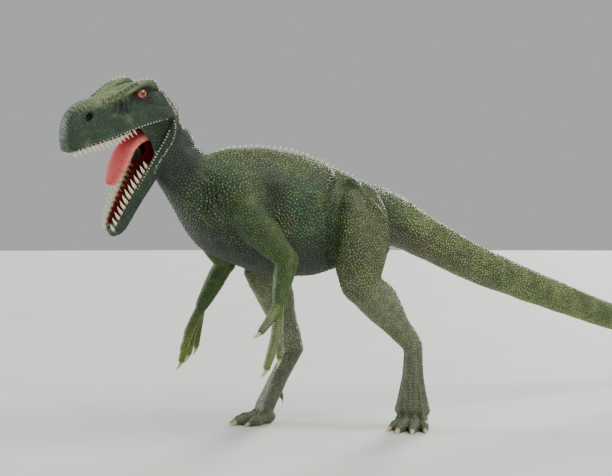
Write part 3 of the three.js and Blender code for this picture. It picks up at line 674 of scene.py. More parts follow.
headStrokes = [
    ((183, 55, 133), (201, 66, 82), 6, -8), ((206, 54, 127), (225, 63, 83), 6, -8),
    ((162, 58, 136), (180, 68, 103), 6, -7), ((227, 52, 124), (244, 60, 91), 6, -6),
    ((192, 56, 128), (212, 65, 86), 5, 4), ((215, 54, 126), (235, 62, 92), 5, 4),    # creases before the eye
    ((306, 50, 112), (323, 56, 50), 5.5, -7), ((297, 53, 103), (311, 57, 60), 5, -5),
    ((284, 54, 104), (298, 57, 74), 5, -5), ((302, 52, 106), (317, 57, 56), 4.5, 3),   # behind the nostril
    ((60, 86, 70), (20, 80, 40), 34, 9),                  # jaw muscle
    ((105, 80, 88), (40, 84, 70), 9, -5),                 # crease under the eye
    ((168, 69, 128), (225, 58, 112), 16, -7),             # hollow before the eye
    ((140, 80, 98), (112, 84, 96), (84, 84, 108), 5, 4),  # pouch under the eye
]
headRim = [(71, 75, 174), (60, 79, 150), (42, 76, 122), (28, 82, 82), (8, 77, 46), (-7, 72, 23)]
jawRim = [(1, 71, -4), (29, 77, -15), (72, 79, -23), (120, 75, -22), (170, 69, -19), (216, 64, -23)]
headStrokes += [(*headRim, 9, 7), (*[(f - 22, out, up) for f, out, up in headRim], 14, -8)]
jawStrokes = [
    (*jawRim, 8, 6),                                      # rear rim of the jaw
    ((250, 60, -30), (360, 50, -26), 12, -4),             # long hollow of the jaw
]


def legStrokes(leg):
    hip, knee, ankle = (np.array(leg[k], float) for k in ("hip", "knee", "ankle"))
    out = np.array([0, -leg["side"], 0])
    fore, rear = np.array([-1, 0, 0]), np.array([1, 0, 0])
    return [
        (lerp(hip, knee, 0.1) + out * 70 + fore * 70, lerp(hip, knee, 0.75) + out * 70 + fore * 40, 55, 9),
        (lerp(hip, knee, 0.15) + out * 70 + rear * 60, lerp(hip, knee, 0.7) + out * 66 + rear * 50, 45, 8),
        (lerp(hip, knee, 0.1) + out * 80 + rear * 2, lerp(hip, knee, 0.85) + out * 75 + rear * 8, 18, -6),
        (knee + fore * 70 + out * 10, knee + fore * 60 + out * 10 + (0, 0, -50), 40, 9),
        (lerp(knee, ankle, 0.1) + out * 56 + rear * 40,
         lerp(knee, ankle, 0.45) + out * 50 + rear * 40, 40, 9),
        (lerp(knee, ankle, 0.15) + out * 55 + rear * 2,
         lerp(knee, ankle, 0.7) + out * 45 + rear * 10, 14, -5),
        (ankle + out * 36, ankle + out * 36 + (0, 0, -12), 24, 8),
        (ankle - out * 36, ankle - out * 36 + (0, 0, -12), 22, 7),
        (lerp(knee, ankle, 0.7) + rear * 60, ankle + rear * 44, 14, 8),
    ]


def armStrokes(arm):
    shoulder, elbow, wrist = (np.array(arm[k], float) for k in ("shoulder", "elbow", "wrist"))
    out = np.array([0, -arm["side"], 0])
    return [
        (lerp(shoulder, elbow, 0.1) + out * 55, lerp(shoulder, elbow, 0.45) + out * 50, 42, 8),
        (lerp(shoulder, elbow, 0.3) + (-50, 0, -20), lerp(shoulder, elbow, 0.75) + (-45, 0, -20), 30, 7),
        (elbow + (36, 0, 0), elbow + (34, 0, -16), 22, 8),
        (lerp(elbow, wrist, 0.08) + out * 34, lerp(elbow, wrist, 0.4) + out * 34, 26, 5),
        (wrist + out * 22, wrist + out * 22 + (0, 0, -10), 14, 4),
    ]


# Tendons and knuckles on the backs of the digits
def digitStrokes(digit, start, knuckles):
    run, back = digit["run"], unit(digit["back"])
    strokes = []
    for share in knuckles:
        s = sectionsAt(run, share * (len(run) - 1), digit["across"])
        spot = s["middle"][0] + back * s["size"][0, 0]
        strokes.append((spot, spot + (0, 0, 2), 14, 4))
    if start is not None:
        s = sectionsAt(run, 0.35 * (len(run) - 1), digit["across"])
        strokes.append((start, s["middle"][0] + back * s["size"][0, 0], 9, 6))
    return strokes


def mirrored(strokes):
    flip = np.array([1, -1, 1])
    return strokes + [(*(np.array(p) * flip for p in line), reach, height)
                      for *line, reach, height in strokes]


def onJaws(strokes, placing):
    return [(*(placing((-f, -side * out, up)) for f, out, up in line), reach, height)
            for side in (1, -1) for *line, reach, height in strokes]


def pushed(body, strokes):
    total = np.zeros(len(body))
    for *line, reach, height in strokes:
        line = np.array(line, float)
        low, high = line.min(0) - 2.4 * reach, line.max(0) + 2.4 * reach
        near = np.flatnonzero(((body > low) & (body < high)).all(axis=1))
        away = np.full(len(near), 1e9)
        for a, b in zip(line[:-1], line[1:]):
            p, span = body[near] - a, b - a
            t = np.clip(p @ span / max(span @ span, 1e-6), 0, 1)
            away = np.minimum(away, np.linalg.norm(p - t[:, None] * span, axis=1))
        total[near] += height * np.exp(-(away / reach) ** 2)
    return total


allStrokes = mirrored(trunkStrokes) + onJaws(headStrokes, headToBody) + onJaws(jawStrokes, jawToBody)
for name, leg in legs.items():
    allStrokes += legStrokes(leg)
    start = np.array(leg["ankle"], float)
    ahead = -np.array([math.cos(headingOf[name]), math.sin(headingOf[name]), 0])
    for digit in legForms[name]["digits"][:4]:
        allStrokes += digitStrokes(digit, start + ahead * 30, (0.45, 0.75))
for name, arm in arms.items():
    allStrokes += armStrokes(arm)
    for digit in armForms[name]["digits"]:
        allStrokes += digitStrokes(digit, None, (0.5, 0.78))

body = toBody(points)
push = pushed(body, allStrokes)

# Head places of every point, for the nostrils, the mouth and the markings
inHead = (body - headPose["joint"]) @ headTurn
inJaw = (body - headPose["joint"]) @ jawTurn
nostril = {"forward": 347, "up": 96, "long": 20, "high": 11, "slant": -40, "deep": 15}


def nostrilField(inHead):
    slant = math.radians(nostril["slant"])
    ahead, up = -inHead[:, 0] - nostril["forward"], inHead[:, 2] - nostril["up"]
    x = (ahead * math.cos(slant) + up * math.sin(slant)) / nostril["long"]
    z = (-ahead * math.sin(slant) + up * math.cos(slant)) / nostril["high"]
    return np.hypot(x, z) + 10 * (np.abs(inHead[:, 1]) < 22)


nose = nostrilField(inHead)
push += -nostril["deep"] * smooth(nose, 1.05, 0.5) + 4.5 * np.exp(-((nose - 1.35) / 0.28) ** 2)
ahead, left, high = -inHead[:, 0], inHead[:, 1], inHead[:, 2]
onTop = smooth(high, 100, 130) * shares["skull"]
noseRidges = 3.0 * np.sin(ahead / 2.6 + 0.6 * np.sin(left / 9))
push += onTop * smooth(ahead, 290, 325) * noseRidges


# Skin folds: fine ridges across a direction, inside a soft ball
def folds(body, centre, reach, direction, pitch, height, seed):
    d = np.linalg.norm((body - centre) / np.asarray(reach, float), axis=1)
    near = np.flatnonzero(d < 1.2)
    p = body[near] - centre
    sway = lumps(body[near], 40, seed) * 17
    wave = np.sin(2 * math.pi * ((p @ unit(direction)) + sway) / pitch)
    total = np.zeros(len(body))
    total[near] = height * wave * smooth(d[near], 1.0, 0.35)
    return total


foldRows = [      # middle, reach each way, direction across the folds, pitch, height
    ((-605, -130, 950), (85, 90, 110), (1, 0, 0.2), 19, 5.0),       # base of the neck
    ((-345, -205, 865), (70, 60, 62), (0.66, 0, 0.75), 16, 4.2),    # behind the arm
    ((-520, -150, 800), (60, 70, 70), (1, 0, -0.4), 16, 2.4),       # breast
    ((150, -130, 980), (60, 60, 120), (0.9, 0, 0.5), 20, 2.6),      # behind the thigh
]
for n, (centre, reach, direction, pitch, height) in enumerate(foldRows):
    for side in (1, -1):
        flip = np.array([1, side, 1])
        push += folds(body, np.array(centre) * flip, reach, np.array(direction) * flip, pitch, height,
                      3 + n)
for leg in legs.values():
    knee, ankle = np.array(leg["knee"], float), np.array(leg["ankle"], float)
    push += folds(body, knee + (-60, 0, 10), (60, 90, 70), (0.5, 0, -1), 15, 2.4, 21)
    push += folds(body, ankle, (70, 60, 44), (0, 0, 1), 13, 2.2, 23)
for arm in arms.values():
    push += folds(body, np.array(arm["elbow"], float), (60, 60, 50), (0.2, 0, 1), 13, 2.0, 27)
    push += folds(body, np.array(arm["wrist"], float), (40, 40, 40), (0.2, 0, 1), 11, 1.6, 29)

flesh = 1 - shares["skull"] - shares["jaw"]
push += flesh * (2.2 * lumps(body, 120, 41) + 1.1 * lumps(body, 46, 43)) * (1 - 0.6 * shares["hand"])
tailAlong = place["spine"]
push += shares["spine"] * smooth(tailAlong, 8.2, 9.5) * 2.0 * lumps(body * (1, 0.4, 1), 90, 45)

# Under its rim the jaw falls away to the throat
jawUp, jawAhead = inJaw[:, 2], -inJaw[:, 0]
throatPart = shares["jaw"] * smooth(jawUp, -26, -44) * smooth(jawAhead, 250, 170)
push -= 11 * throatPart


insideSizes = {"roof": 46, "roofTo": 412, "floor": 50, "floorTo": 450, "back": -20, "lip": 13, "cheekLip": 25,
               "cheekTo": 185}


# The inside of the mouth stays as it is
def insideMouth(inHead, inJaw):
    ahead, left, up = -inHead[:, 0], inHead[:, 1], inHead[:, 2]
    wide, _, low = rowAt(skullRows, ahead)
    lip = np.where(ahead < insideSizes["cheekTo"], insideSizes["cheekLip"], insideSizes["lip"])
    roof = (np.abs(left) < wide - lip) & (up < low + insideSizes["roof"])
    roof &= (ahead > insideSizes["back"]) & (ahead < insideSizes["roofTo"])
    ahead, left, up = -inJaw[:, 0], inJaw[:, 1], inJaw[:, 2]
    wide, top, _ = rowAt(jawRows, ahead)
    bottom = (np.abs(left) < wide - lip) & (up > top - insideSizes["floor"])
    bottom &= (ahead > insideSizes["back"]) & (ahead < insideSizes["floorTo"])
    return roof & bottom


inner = insideMouth(inHead, inJaw).astype(float)
push *= 1 - inner
sole = smooth(body[:, 2], 14, 2)
push *= 1 - sole
points = points + normals * (push * mm)[:, None]
points = relax(points, edges, *evening["allAfter"])
points = relax(points, edges, evening["joinsAfter"], (0.5 * smooth(mixing, 0.1, 0.4) * flesh)[:, None])
points = relax(points, edges, evening["shoulderAfter"], (0.5 * shoulder)[:, None])
points[:, 2] = np.maximum(points[:, 2], 0.0002)
skinMesh.vertices.foreach_set("co", points.astype(np.float32).ravel())
skinMesh.update()
points, normals, edges = readMesh(skinMesh)
body = toBody(points)
print("stage: muscles and folds")

# Markings, with painted light and shade: one soft colour for each point, the same for the skin and the scales
# on it
hideTones = {
    "neck": "3b493d", "trunk": "566a42", "back": "8a9a68", "patch": "8c9a4a", "bright": "4f8456",
    "belly": "3c443c", "tail": "98a966", "tailDark": "647a48", "tailUnderShade": "7a745e", "thigh": "7c8758",
    "shank": "98a07c", "foot": "84896f", "arm": "5c7a36", "hand": "7c9246", "head": "4a644b",
    "snout": "bccf98", "nape": "8f9c80", "eyePatch": "1b2224", "jaw": "44584a", "nostrilShade": "10130f",
    "mouth": "44090d", "lime": "a5bd3c", "membrane": "5c675e", "shoulderHollowShade": "262c25",
}
hideDepth = 0.55
hideGloss = 0.45
trunkSpots = [      # tone, place on the flank, reach and strength
    # The first spot is painted shade in the hollow behind the shoulder
    ("shoulderHollowShade", (-371, 201, 969), 80, 0.6), ("bright", (-557, 137, 1044), 95, 0.4),
    ("bright", (-264, 213, 931), 110, 0.35), ("patch", (-470, 150, 1000), 110, 0.3),
]
hue = {name: tone(code) for name, code in hideTones.items()}


def mixIn(colour, name, amount):
    return colour + (hue[name] - colour) * np.clip(amount, 0, 1)[:, None]


def markingsAndPaintedLight(body, normals, shares, place, inHead, inJaw):
    big, mid, fine = lumps(body, 150, 61), lumps(body, 52, 63), lumps(body, 17, 67)
    n = len(body)
    u = place["spine"]
    trunk = np.tile(hue["trunk"], (n, 1))
    # Painted top light: the trunk is lighter where its skin faces up
    trunk = mixIn(trunk, "back", smooth(normals[:, 2], 0.25, 0.95) * 0.75)
    trunk = mixIn(trunk, "patch", smooth(mid + 0.5 * big + 0.3 * fine, 0.1, 0.8) * 0.4)
    trunk = mixIn(trunk, "bright", smooth(big - 0.3 * mid + 0.3 * fine, 0.1, 0.8) * 0.4)
    across = np.abs(body[:, 1])
    for name, where, reach, amount in trunkSpots:
        away = np.linalg.norm(np.stack([body[:, 0], across, body[:, 2]], axis=1) - where, axis=1)
        trunk = mixIn(trunk, name, smooth(away + 30 * fine + 25 * mid, reach, reach * 0.2) * amount)
    # Painted shade: the trunk darkens where its skin faces down
    trunk = mixIn(trunk, "belly", smooth(normals[:, 2], 0.0, -0.75) * 0.9)
    trunk = mixIn(trunk, "neck", smooth(u, 3.6, 2.6) * 0.9)
    # Painted rim light: the neck is paler where its skin faces back toward the tail
    trunk = mixIn(trunk, "nape", smooth(u, 3.0, 2.0) * smooth(normals[:, 0], 0.2, 0.8) * 0.5)
    tailPart = mixIn(np.tile(hue["tail"], (n, 1)), "tailDark", smooth(mid + 0.6 * fine, 0.0, 0.6) * 0.7)
    # Painted shade: the tail darkens where its skin faces down, most near its root
    tailPart = mixIn(tailPart, "tailUnderShade", smooth(normals[:, 2], 0.1, -0.6) * smooth(u, 11, 8.5) * 0.8)
    onTail = smooth(u, 7.4, 8.6)[:, None]
    colours = {"spine": trunk * (1 - onTail) + tailPart * onTail}
    thigh = mixIn(np.tile(hue["thigh"], (n, 1)), "patch", smooth(mid, 0.1, 0.7) * 0.4)
    colours["thigh"] = mixIn(thigh, "bright", smooth(body[:, 2], 930, 1050) * 0.5)
    colours["shank"] = mixIn(np.tile(hue["shank"], (n, 1)), "tail", smooth(mid, 0.1, 0.7) * 0.4)
    colours["foot"] = mixIn(np.tile(hue["foot"], (n, 1)), "shank", smooth(mid, 0.0, 0.6) * 0.5)
    colours["arm"] = mixIn(np.tile(hue["arm"], (n, 1)), "trunk", smooth(mid, 0.1, 0.7) * 0.5)
    hand = mixIn(np.tile(hue["hand"], (n, 1)), "foot", smooth(mid, -0.1, 0.5) * 0.6)
    colours["hand"] = mixIn(hand, "lime", smooth(body[:, 2] + 40 * fine, 420, 330) * 0.55)
    ahead, out, up = -inHead[:, 0], np.abs(inHead[:, 1]), inHead[:, 2]
    face = np.tile(hue["head"], (n, 1))
    face = mixIn(face, "snout", smooth(up, 105, 150) * smooth(ahead, 20, 130) * 0.85)
    face = mixIn(face, "snout", smooth(mid, 0.1, 0.8) * 0.4)
    face = mixIn(face, "bright", smooth(big + 0.4 * fine, 0.2, 0.8) * 0.4)
    face = mixIn(face, "nape", smooth(ahead, 45, 0) * 0.7)
    fromEye = np.hypot((ahead - eyeball["forward"] + 4) / 1.35, up - eyeball["up"] + 2)
    face = mixIn(face, "eyePatch", smooth(fromEye, 46, 24) * (out > 35) * 0.92)
    # Painted shade in the hollow and creases before the eye
    before = np.hypot((ahead - 196) / 1.3, (up - 100))
    face = mixIn(face, "eyePatch", smooth(before, 30, 6) * 0.6)
    # Painted shade inside the sunken nostril
    nose = nostrilField(inHead)
    face = mixIn(face, "nostrilShade", smooth(nose, 1.25, 0.8) * 0.97)
    colours["skull"] = face
    chin = mixIn(np.tile(hue["jaw"], (n, 1)), "head", smooth(mid, 0.0, 0.7) * 0.6)
    under = smooth(inJaw[:, 2], -24, -40) * smooth(-inJaw[:, 0], 250, 170)
    colours["jaw"] = mixIn(chin, "neck", under)
    total = sum(colours[k] * shares[k][:, None] for k in colours)
    return total * (hideDepth * (1 + 0.12 * fine))[:, None]


shares, place = sharesOf(body)
inHead = (body - headPose["joint"]) @ headTurn
inJaw = (body - headPose["joint"]) @ jawTurn
tint = markingsAndPaintedLight(body, normals, shares, place, inHead, inJaw)
tint = mixIn(tint, "mouth", inner)
outward = -np.sign(inHead[:, 1]) * (normals @ (-headTurn[:, 1]))
webbing = inner * (np.abs(inHead[:, 1]) > 40) * (-inHead[:, 0] < 185) * smooth(outward, 0.15, 0.5)
tint += (hue["membrane"] * hideDepth * 1.2 - tint) * webbing[:, None]
print("stage: markings")


# Finishes
def newFinish(name):
    material = bpy.data.materials.new(name)
    material.use_nodes = True
    tree = material.node_tree
    return material, tree, tree.nodes["Principled BSDF"]


def node(tree, kind, links=(), **values):
    made = tree.nodes.new(kind)
    for key, value in values.items():
        setattr(made, key, value)
    for socket, source in dict(links).items():
        if isinstance(source, bpy.types.NodeSocket):
            tree.links.new(source, made.inputs[socket])
        else:
            made.inputs[socket].default_value = source
    return made


def mark(tree, name, output="Fac"):
    return node(tree, "ShaderNodeAttribute", attribute_name=name).outputs[output]


def spots(tree, size, detail=2.0):
    where = node(tree, "ShaderNodeTexCoord").outputs["Object"]
    made = node(tree, "ShaderNodeTexNoise", {"Vector": where, "Scale": 1 / size, "Detail": detail})
    return made.outputs["Fac"]


def cells(tree, size):
    where = node(tree, "ShaderNodeTexCoord").outputs["Object"]
    return node(tree, "ShaderNodeTexVoronoi", {"Vector": where, "Scale": 1 / size}).outputs["Distance"]


def ramp(tree, source, stops):
    made = node(tree, "ShaderNodeValToRGB", {"Fac": source})
    bar = made.color_ramp.elements
    while len(bar) < len(stops):
        bar.new(0.5)
    for element, (spot, colour) in zip(bar, stops):
        element.position = spot
        element.color = (*colour, 1)
    return made.outputs["Color"]


def grey(value):
    return (value, value, value)


def multiply(tree, colour, *layers):
    for layer in layers:
        made = node(tree, "ShaderNodeMix", data_type="RGBA", blend_type="MULTIPLY")
        made.inputs[0].default_value = 1.0
        tree.links.new(colour, made.inputs[6])
        tree.links.new(layer, made.inputs[7])
        colour = made.outputs[2]
    return colour


def bump(tree, shader, height, strength, distance):
    made = node(tree, "ShaderNodeBump", {"Height": height, "Strength": strength, "Distance": distance})
    tree.links.new(made.outputs["Normal"], shader.inputs["Normal"])


def hideFinish():
    material, tree, shader = newFinish("pebbled_hide")
    # Painted shade in the grooves between the fine scales: the colour darkens toward the cell edges that the
    # bump sinks
    grooveShade = ramp(tree, cells(tree, 0.0052), [(0.0, grey(0.85)), (0.45, grey(0.55)), (0.8, grey(0.3))])
    mottle = ramp(tree, spots(tree, 0.03, 4), [(0.3, grey(0.7)), (0.7, grey(1.15))])
    colour = multiply(tree, mark(tree, "tint", "Color"), grooveShade, mottle)
    tree.links.new(colour, shader.inputs["Base Color"])
    gloss = ramp(tree, spots(tree, 0.02), [(0.3, grey(0.5)), (0.7, grey(0.68))])
    tree.links.new(gloss, shader.inputs["Roughness"])
    tree.links.new(mark(tree, "gloss"), shader.inputs["Specular IOR Level"])
    bump(tree, shader, cells(tree, 0.0052), 0.5, -0.0012)
    return material


def scaleFinish():
    material, tree, shader = newFinish("pebble_scales")
    # Painted shade at each scale's base, where it meets the hide; paler toward the top
    baseShadeToPaleTop = ramp(tree, mark(tree, "along"), [(0.0, grey(0.22)), (0.5, grey(0.95)), (1.0, grey(2.1))])
    odd = ramp(tree, mark(tree, "shade"), [(0.0, grey(0.72)), (1.0, grey(1.3))])
    mottle = ramp(tree, spots(tree, 0.03, 4), [(0.3, grey(0.7)), (0.7, grey(1.15))])
    colour = multiply(tree, mark(tree, "tint", "Color"), baseShadeToPaleTop, odd, mottle)
    tree.links.new(colour, shader.inputs["Base Color"])
    gloss = ramp(tree, spots(tree, 0.012), [(0.3, grey(0.42)), (0.7, grey(0.6))])
    tree.links.new(gloss, shader.inputs["Roughness"])
    bump(tree, shader, spots(tree, 0.0016), 0.2, 0.0004)
    return material


def hornFinish(name, root, tip, gloss):
    material, tree, shader = newFinish(name)
    body = ramp(tree, mark(tree, "along"), [(0.0, tone(root)), (0.35, tone(tip)), (1.0, tone(tip))])
    streak = ramp(tree, spots(tree, 0.006, 3), [(0.35, grey(0.72)), (0.65, grey(1.1))])
    tree.links.new(multiply(tree, body, streak), shader.inputs["Base Color"])
    shader.inputs["Roughness"].default_value = gloss
    bump(tree, shader, spots(tree, 0.003), 0.25, 0.0005)
    return material


def fleshFinish(name, deep, pale, wet):
    material, tree, shader = newFinish(name)
    blend = ramp(tree, mark(tree, "along"), [(0.0, tone(deep)), (1.0, tone(pale))])
    veins = ramp(tree, spots(tree, 0.012, 4), [(0.3, grey(0.75)), (0.7, grey(1.12))])
    tree.links.new(multiply(tree, blend, veins), shader.inputs["Base Color"])
    shader.inputs["Roughness"].default_value = wet
    shader.inputs["Specular IOR Level"].default_value = 0.1
    shader.inputs["Subsurface Weight"].default_value = 0.15
    shader.inputs["Subsurface Radius"].default_value = (0.01, 0.004, 0.003)
    bump(tree, shader, cells(tree, 0.0028), 0.35, -0.0007)
    return material


def eyeFinish():
    material, tree, shader = newFinish("amber_eye")
    streak = spots(tree, 0.0022, 3)
    iris = ramp(tree, streak, [(0.35, tone("7a2608")), (0.5, tone("bb4f14")), (0.68, tone("e08a2c"))])
    fade = ramp(tree, mark(tree, "along"), [(0.0, grey(0.0)), (0.1, grey(0.0)), (0.125, grey(1.0)),
                                            (0.3, grey(1.0)), (0.36, grey(0.2)), (1.0, grey(0.08))])
    tree.links.new(multiply(tree, iris, fade), shader.inputs["Base Color"])
    shader.inputs["Roughness"].default_value = 0.12
    shader.inputs["Coat Weight"].default_value = 1.0
    shader.inputs["Coat Roughness"].default_value = 0.02
    return material


hide, scales = hideFinish(), scaleFinish()
toothHorn = hornFinish("tooth_ivory", "94824f", "f3e8c4", 0.28)
clawHorn = hornFinish("claw_horn", "5a5540", "cdbf92", 0.35)
knobHorn = hornFinish("pale_knob", "7d8660", "e9e8d2", 0.4)
scuteHorn = hornFinish("pale_scute", "27331f", "74805a", 0.45)
beadHorn = hornFinish("pale_bead", "4a5844", "aab497", 0.45)
tongueFlesh = fleshFinish("tongue_flesh", "bb2229", "f5857c", 0.55)
# The lining's deep tone is painted shade: near black in the middle of the roof and floor and over the throat,
# paler toward the sides
shadedLiningFlesh = fleshFinish("mouth_lining", "24090b", "6e1e22", 0.65)
eyeGlass = eyeFinish()
print("stage: finishes")

# Pebble scales over the whole hide
scaleSizes = {
    "spacing": {"spine": 10.6, "skull": 6.2, "jaw": 6.4, "thigh": 9.4, "shank": 8.6, "foot": 7.4,
                "arm": 7.6, "hand": 6.6},
    "neckSpacing": 8.0, "tailCloser": 4.0, "least": 4.5, "tries": 2, "fill": 0.48, "rise": 0.42, "top": 0.58,
    "sides": 5, "patch": 0.0013, "eyeBare": 27,
}


def scatterScales(faces4):
    corners = points[faces4]
    tries = scaleSizes["tries"]
    a, b = draws.random((2, tries, len(faces4), 1))
    spot = ((1 - a) * ((1 - b) * corners[:, 0] + b * corners[:, 1])
            + a * ((1 - b) * corners[:, 3] + b * corners[:, 2])).reshape(-1, 3)
    owner = np.tile(faces4[:, 0], tries)
    spacing = sum(shares[k] * s for k, s in scaleSizes["spacing"].items())
    u = place["spine"]
    onSpine = shares["spine"]
    neckCloser = scaleSizes["neckSpacing"] - scaleSizes["spacing"]["spine"]
    spacing += onSpine * (smooth(u, 3.4, 2.4) * neckCloser - smooth(u, 9, 14) * scaleSizes["tailCloser"])
    spacing *= 1 + 0.16 * lumps(body, 60, 71)
    spacing = np.maximum(spacing, scaleSizes["least"]) * mm
    bare = inner > 0.5
    bare |= (body[:, 2] < 6) & (normals[:, 2] < -0.5)
    bare |= nostrilField(inHead) < 1.0
    eye = (eyeball["forward"], eyeball["out"], eyeball["up"])
    bare |= np.linalg.norm(np.abs(inHead) - eye, axis=1) < scaleSizes["eyeBare"]
    alive = ~bare[owner]
    tree = KDTree(len(spot))
    for i, p in enumerate(spot):
        tree.insert(p, i)
    tree.balance()
    kept = []
    gap = spacing[owner]
    for i in draws.permutation(len(spot)):
        if alive[i]:
            kept.append(i)
            for _, j, _ in tree.find_range(spot[i], gap[i]):
                alive[j] = False
    kept = np.array(kept)
    return spot[kept], owner[kept], gap[kept]


# How boldly the scales stand out from the hide in each part: bolder scales get a darker painted shade at
# their bases and paler tops
boldParts = {"spine": 1.0, "thigh": 0.85, "shank": 0.4, "foot": 0.3, "arm": 0.4, "hand": 0.3, "skull": 0.3,
             "jaw": 0.3}
boldness = sum(shares[k] * b for k, b in boldParts.items())
boldness -= 0.35 * shares["spine"] * smooth(place["spine"], 3.2, 2.2)


# Each scale's place on an unwrap of the hide: one strip for each part of the body
strips = {"spine": (0.0, 0.0, 1.0, 0.42), "skull": (0.0, 0.43, 0.3, 0.18), "jaw": (0.32, 0.43, 0.3, 0.18),
          "thigh": (0.64, 0.43, 0.36, 0.18), "shank": (0.0, 0.63, 0.48, 0.17), "foot": (0.5, 0.63, 0.5, 0.17),
          "arm": (0.0, 0.82, 0.48, 0.17), "hand": (0.5, 0.82, 0.5, 0.17)}


def partOf(owner):
    return np.array(list(shares))[np.argmax(np.stack([shares[k][owner] for k in shares]), axis=0)]


def unwrapped(owner):
    part = partOf(owner)
    uv = np.zeros((len(owner), 2))
    for name, (x, y, wide, tall) in strips.items():
        pick = part == name
        at = place[name][owner[pick]]
        middle = chains[name][0][np.abs(chains[name][2][None] - at[:, None]).argmin(1)]
        off = body[owner[pick]] - middle
        angle = np.arctan2(off[:, 2], off[:, 1]) / (2 * math.pi) + 0.5
        span = chains[name][2].max() - chains[name][2].min()
        uv[pick, 0] = x + wide * (0.02 + 0.96 * (at - chains[name][2].min()) / span)
        uv[pick, 1] = y + tall * (0.02 + 0.96 * angle)
    return uv


def scalePiece(name, spot, owner, gap):
    sides, count = scaleSizes["sides"], len(spot)
    up = unit(normals[owner])
    lie = unit(np.cross(up, np.array([0.05, 1, 0.1])))
    other = np.cross(up, lie)
    spin = draws.random(count) * 2 * math.pi
    radius = gap * scaleSizes["fill"] * (0.88 + 0.24 * draws.random(count))
    rise = radius * scaleSizes["rise"] * (0.8 + 0.5 * draws.random(count))
    turn = spin[:, None] + np.linspace(0, 2 * math.pi, sides, endpoint=False)
    flat = lie[:, None] * np.cos(turn)[..., None] * 1.08 + other[:, None] * np.sin(turn)[..., None]
    low = spot[:, None] + flat * radius[:, None, None] - up[:, None] * (0.3 * rise)[:, None, None]
    narrow = scaleSizes["top"]
    top = spot[:, None] + flat * (narrow * radius)[:, None, None] + up[:, None] * rise[:, None, None]
    verts = np.concatenate([low, top], axis=1).reshape(-1, 3)
    first = np.arange(count)[:, None] * 2 * sides
    j = np.arange(sides)
    k = (j + 1) % sides
    quads = (first[:, :, None] + np.stack([j, k, k + sides, j + sides], axis=1)[None]).reshape(-1, 4)
    caps = first + sides + j[None]
    mesh = makeMesh(name, verts, [quads, caps])
    depth = boldness[owner]
    # The base ring takes the low end, painted shade where the scale meets the hide; the top ring takes the
    # high end
    ends = np.stack([0.42 - 0.42 * depth, 0.58 + 0.42 * depth], axis=1)
    storeMark(mesh, "along", np.repeat(ends, sides, axis=1).ravel())
    storeMark(mesh, "shade", np.repeat(draws.random(count), 2 * sides))
    storeMark(mesh, "tint", np.repeat(tint[owner], 2 * sides, axis=0))
    spread = np.stack([np.cos(turn), np.sin(turn)], axis=-1) * scaleSizes["patch"]
    patch = unwrapped(owner)[:, None] + np.concatenate([spread, spread * narrow], axis=1)
    corner = np.empty(len(mesh.loops), np.int32)
    mesh.loops.foreach_get("vertex_index", corner)
    layer = mesh.uv_layers.new(name="OFBake")
    layer.data.foreach_set("uv", patch.reshape(-1, 2)[corner].astype(np.float32).ravel())
    return placePiece(name, mesh, scales)


quads = np.empty(len(skinMesh.loops), np.int32)
skinMesh.loops.foreach_get("vertex_index", quads)
sizes = np.empty(len(skinMesh.polygons), np.int32)
skinMesh.polygons.foreach_get("loop_total", sizes)
starts = np.empty(len(skinMesh.polygons), np.int32)
skinMesh.polygons.foreach_get("loop_start", starts)
faces4 = np.stack([quads[starts[sizes == 4] + k] for k in range(4)], axis=1)
spot, owner, gap = scatterScales(faces4)
which = partOf(owner)
leftSide = body[owner][:, 1] < 0
u = place["spine"][owner]
groups = {
    "scales_head": np.isin(which, ("skull", "jaw")),
    "scales_trunk_left": (which == "spine") & (u < 7.8) & leftSide,
    "scales_trunk_right": (which == "spine") & (u < 7.8) & ~leftSide,
    "scales_tail": (which == "spine") & (u >= 7.8),
    "scales_leg_left": np.isin(which, ("thigh", "shank", "foot")) & leftSide,
    "scales_leg_right": np.isin(which, ("thigh", "shank", "foot")) & ~leftSide,
    "scales_arms": np.isin(which, ("arm", "hand")),
}
for name, pick in groups.items():
    scalePiece(name, spot[pick], owner[pick], gap[pick])
    print("stage:", name, int(pick.sum()), "scales")

# The hide itself, one closed skin for the whole body
storeMark(skinMesh, "tint", tint * (1.75 - 0.75 * boldness)[:, None])
storeMark(skinMesh, "gloss", hideGloss * (1 - inner))
skinPiece = placePiece("hide", skinMesh, hide, (
    "head", "lower_jaw", "cheek_left", "cheek_right", "neck", "torso",
    "tail_root", "tail_middle", "tail_end", "thigh_left", "thigh_right", "shank_left", "shank_right",
    "foot_left", "foot_right",
    "upper_arm_left", "upper_arm_right", "forearm_left", "forearm_right", "hand_left", "hand_right"))
finer = skinPiece.vertex_groups.new(name="finer")
thin = np.clip(1 - shares["skull"] - shares["jaw"] - shares["hand"], 0, 1)
for level in range(5):
    pick = np.flatnonzero(np.round(thin * 4) == level)
    finer.add(pick.tolist(), level / 4, "REPLACE")
trim = skinPiece.modifiers.new("trim", "DECIMATE")
triangles = int((sizes - 2).sum())
trim.ratio = min(1.0, skinSizes["triangles"] / triangles)
trim.vertex_group, trim.vertex_group_factor = "finer", 0.6
lighter = bpy.data.meshes.new_from_object(skinPiece.evaluated_get(bpy.context.evaluated_depsgraph_get()))
skinPiece.modifiers.clear()
skinPiece.data = lighter
lighter.shade_smooth()
print("stage: hide has", len(lighter.polygons), "faces")

# Teeth
teethUpper = {"count": 15, "from": 176, "to": 428, "length": 40, "radius": 5.4, "sweep": 0.3, "splay": 0.05,
              "sign": -1}
teethLower = {"count": 13, "from": 205, "to": 470, "length": 50, "radius": 7.6, "sweep": 0.2, "splay": 0.16,
              "sign": 1}


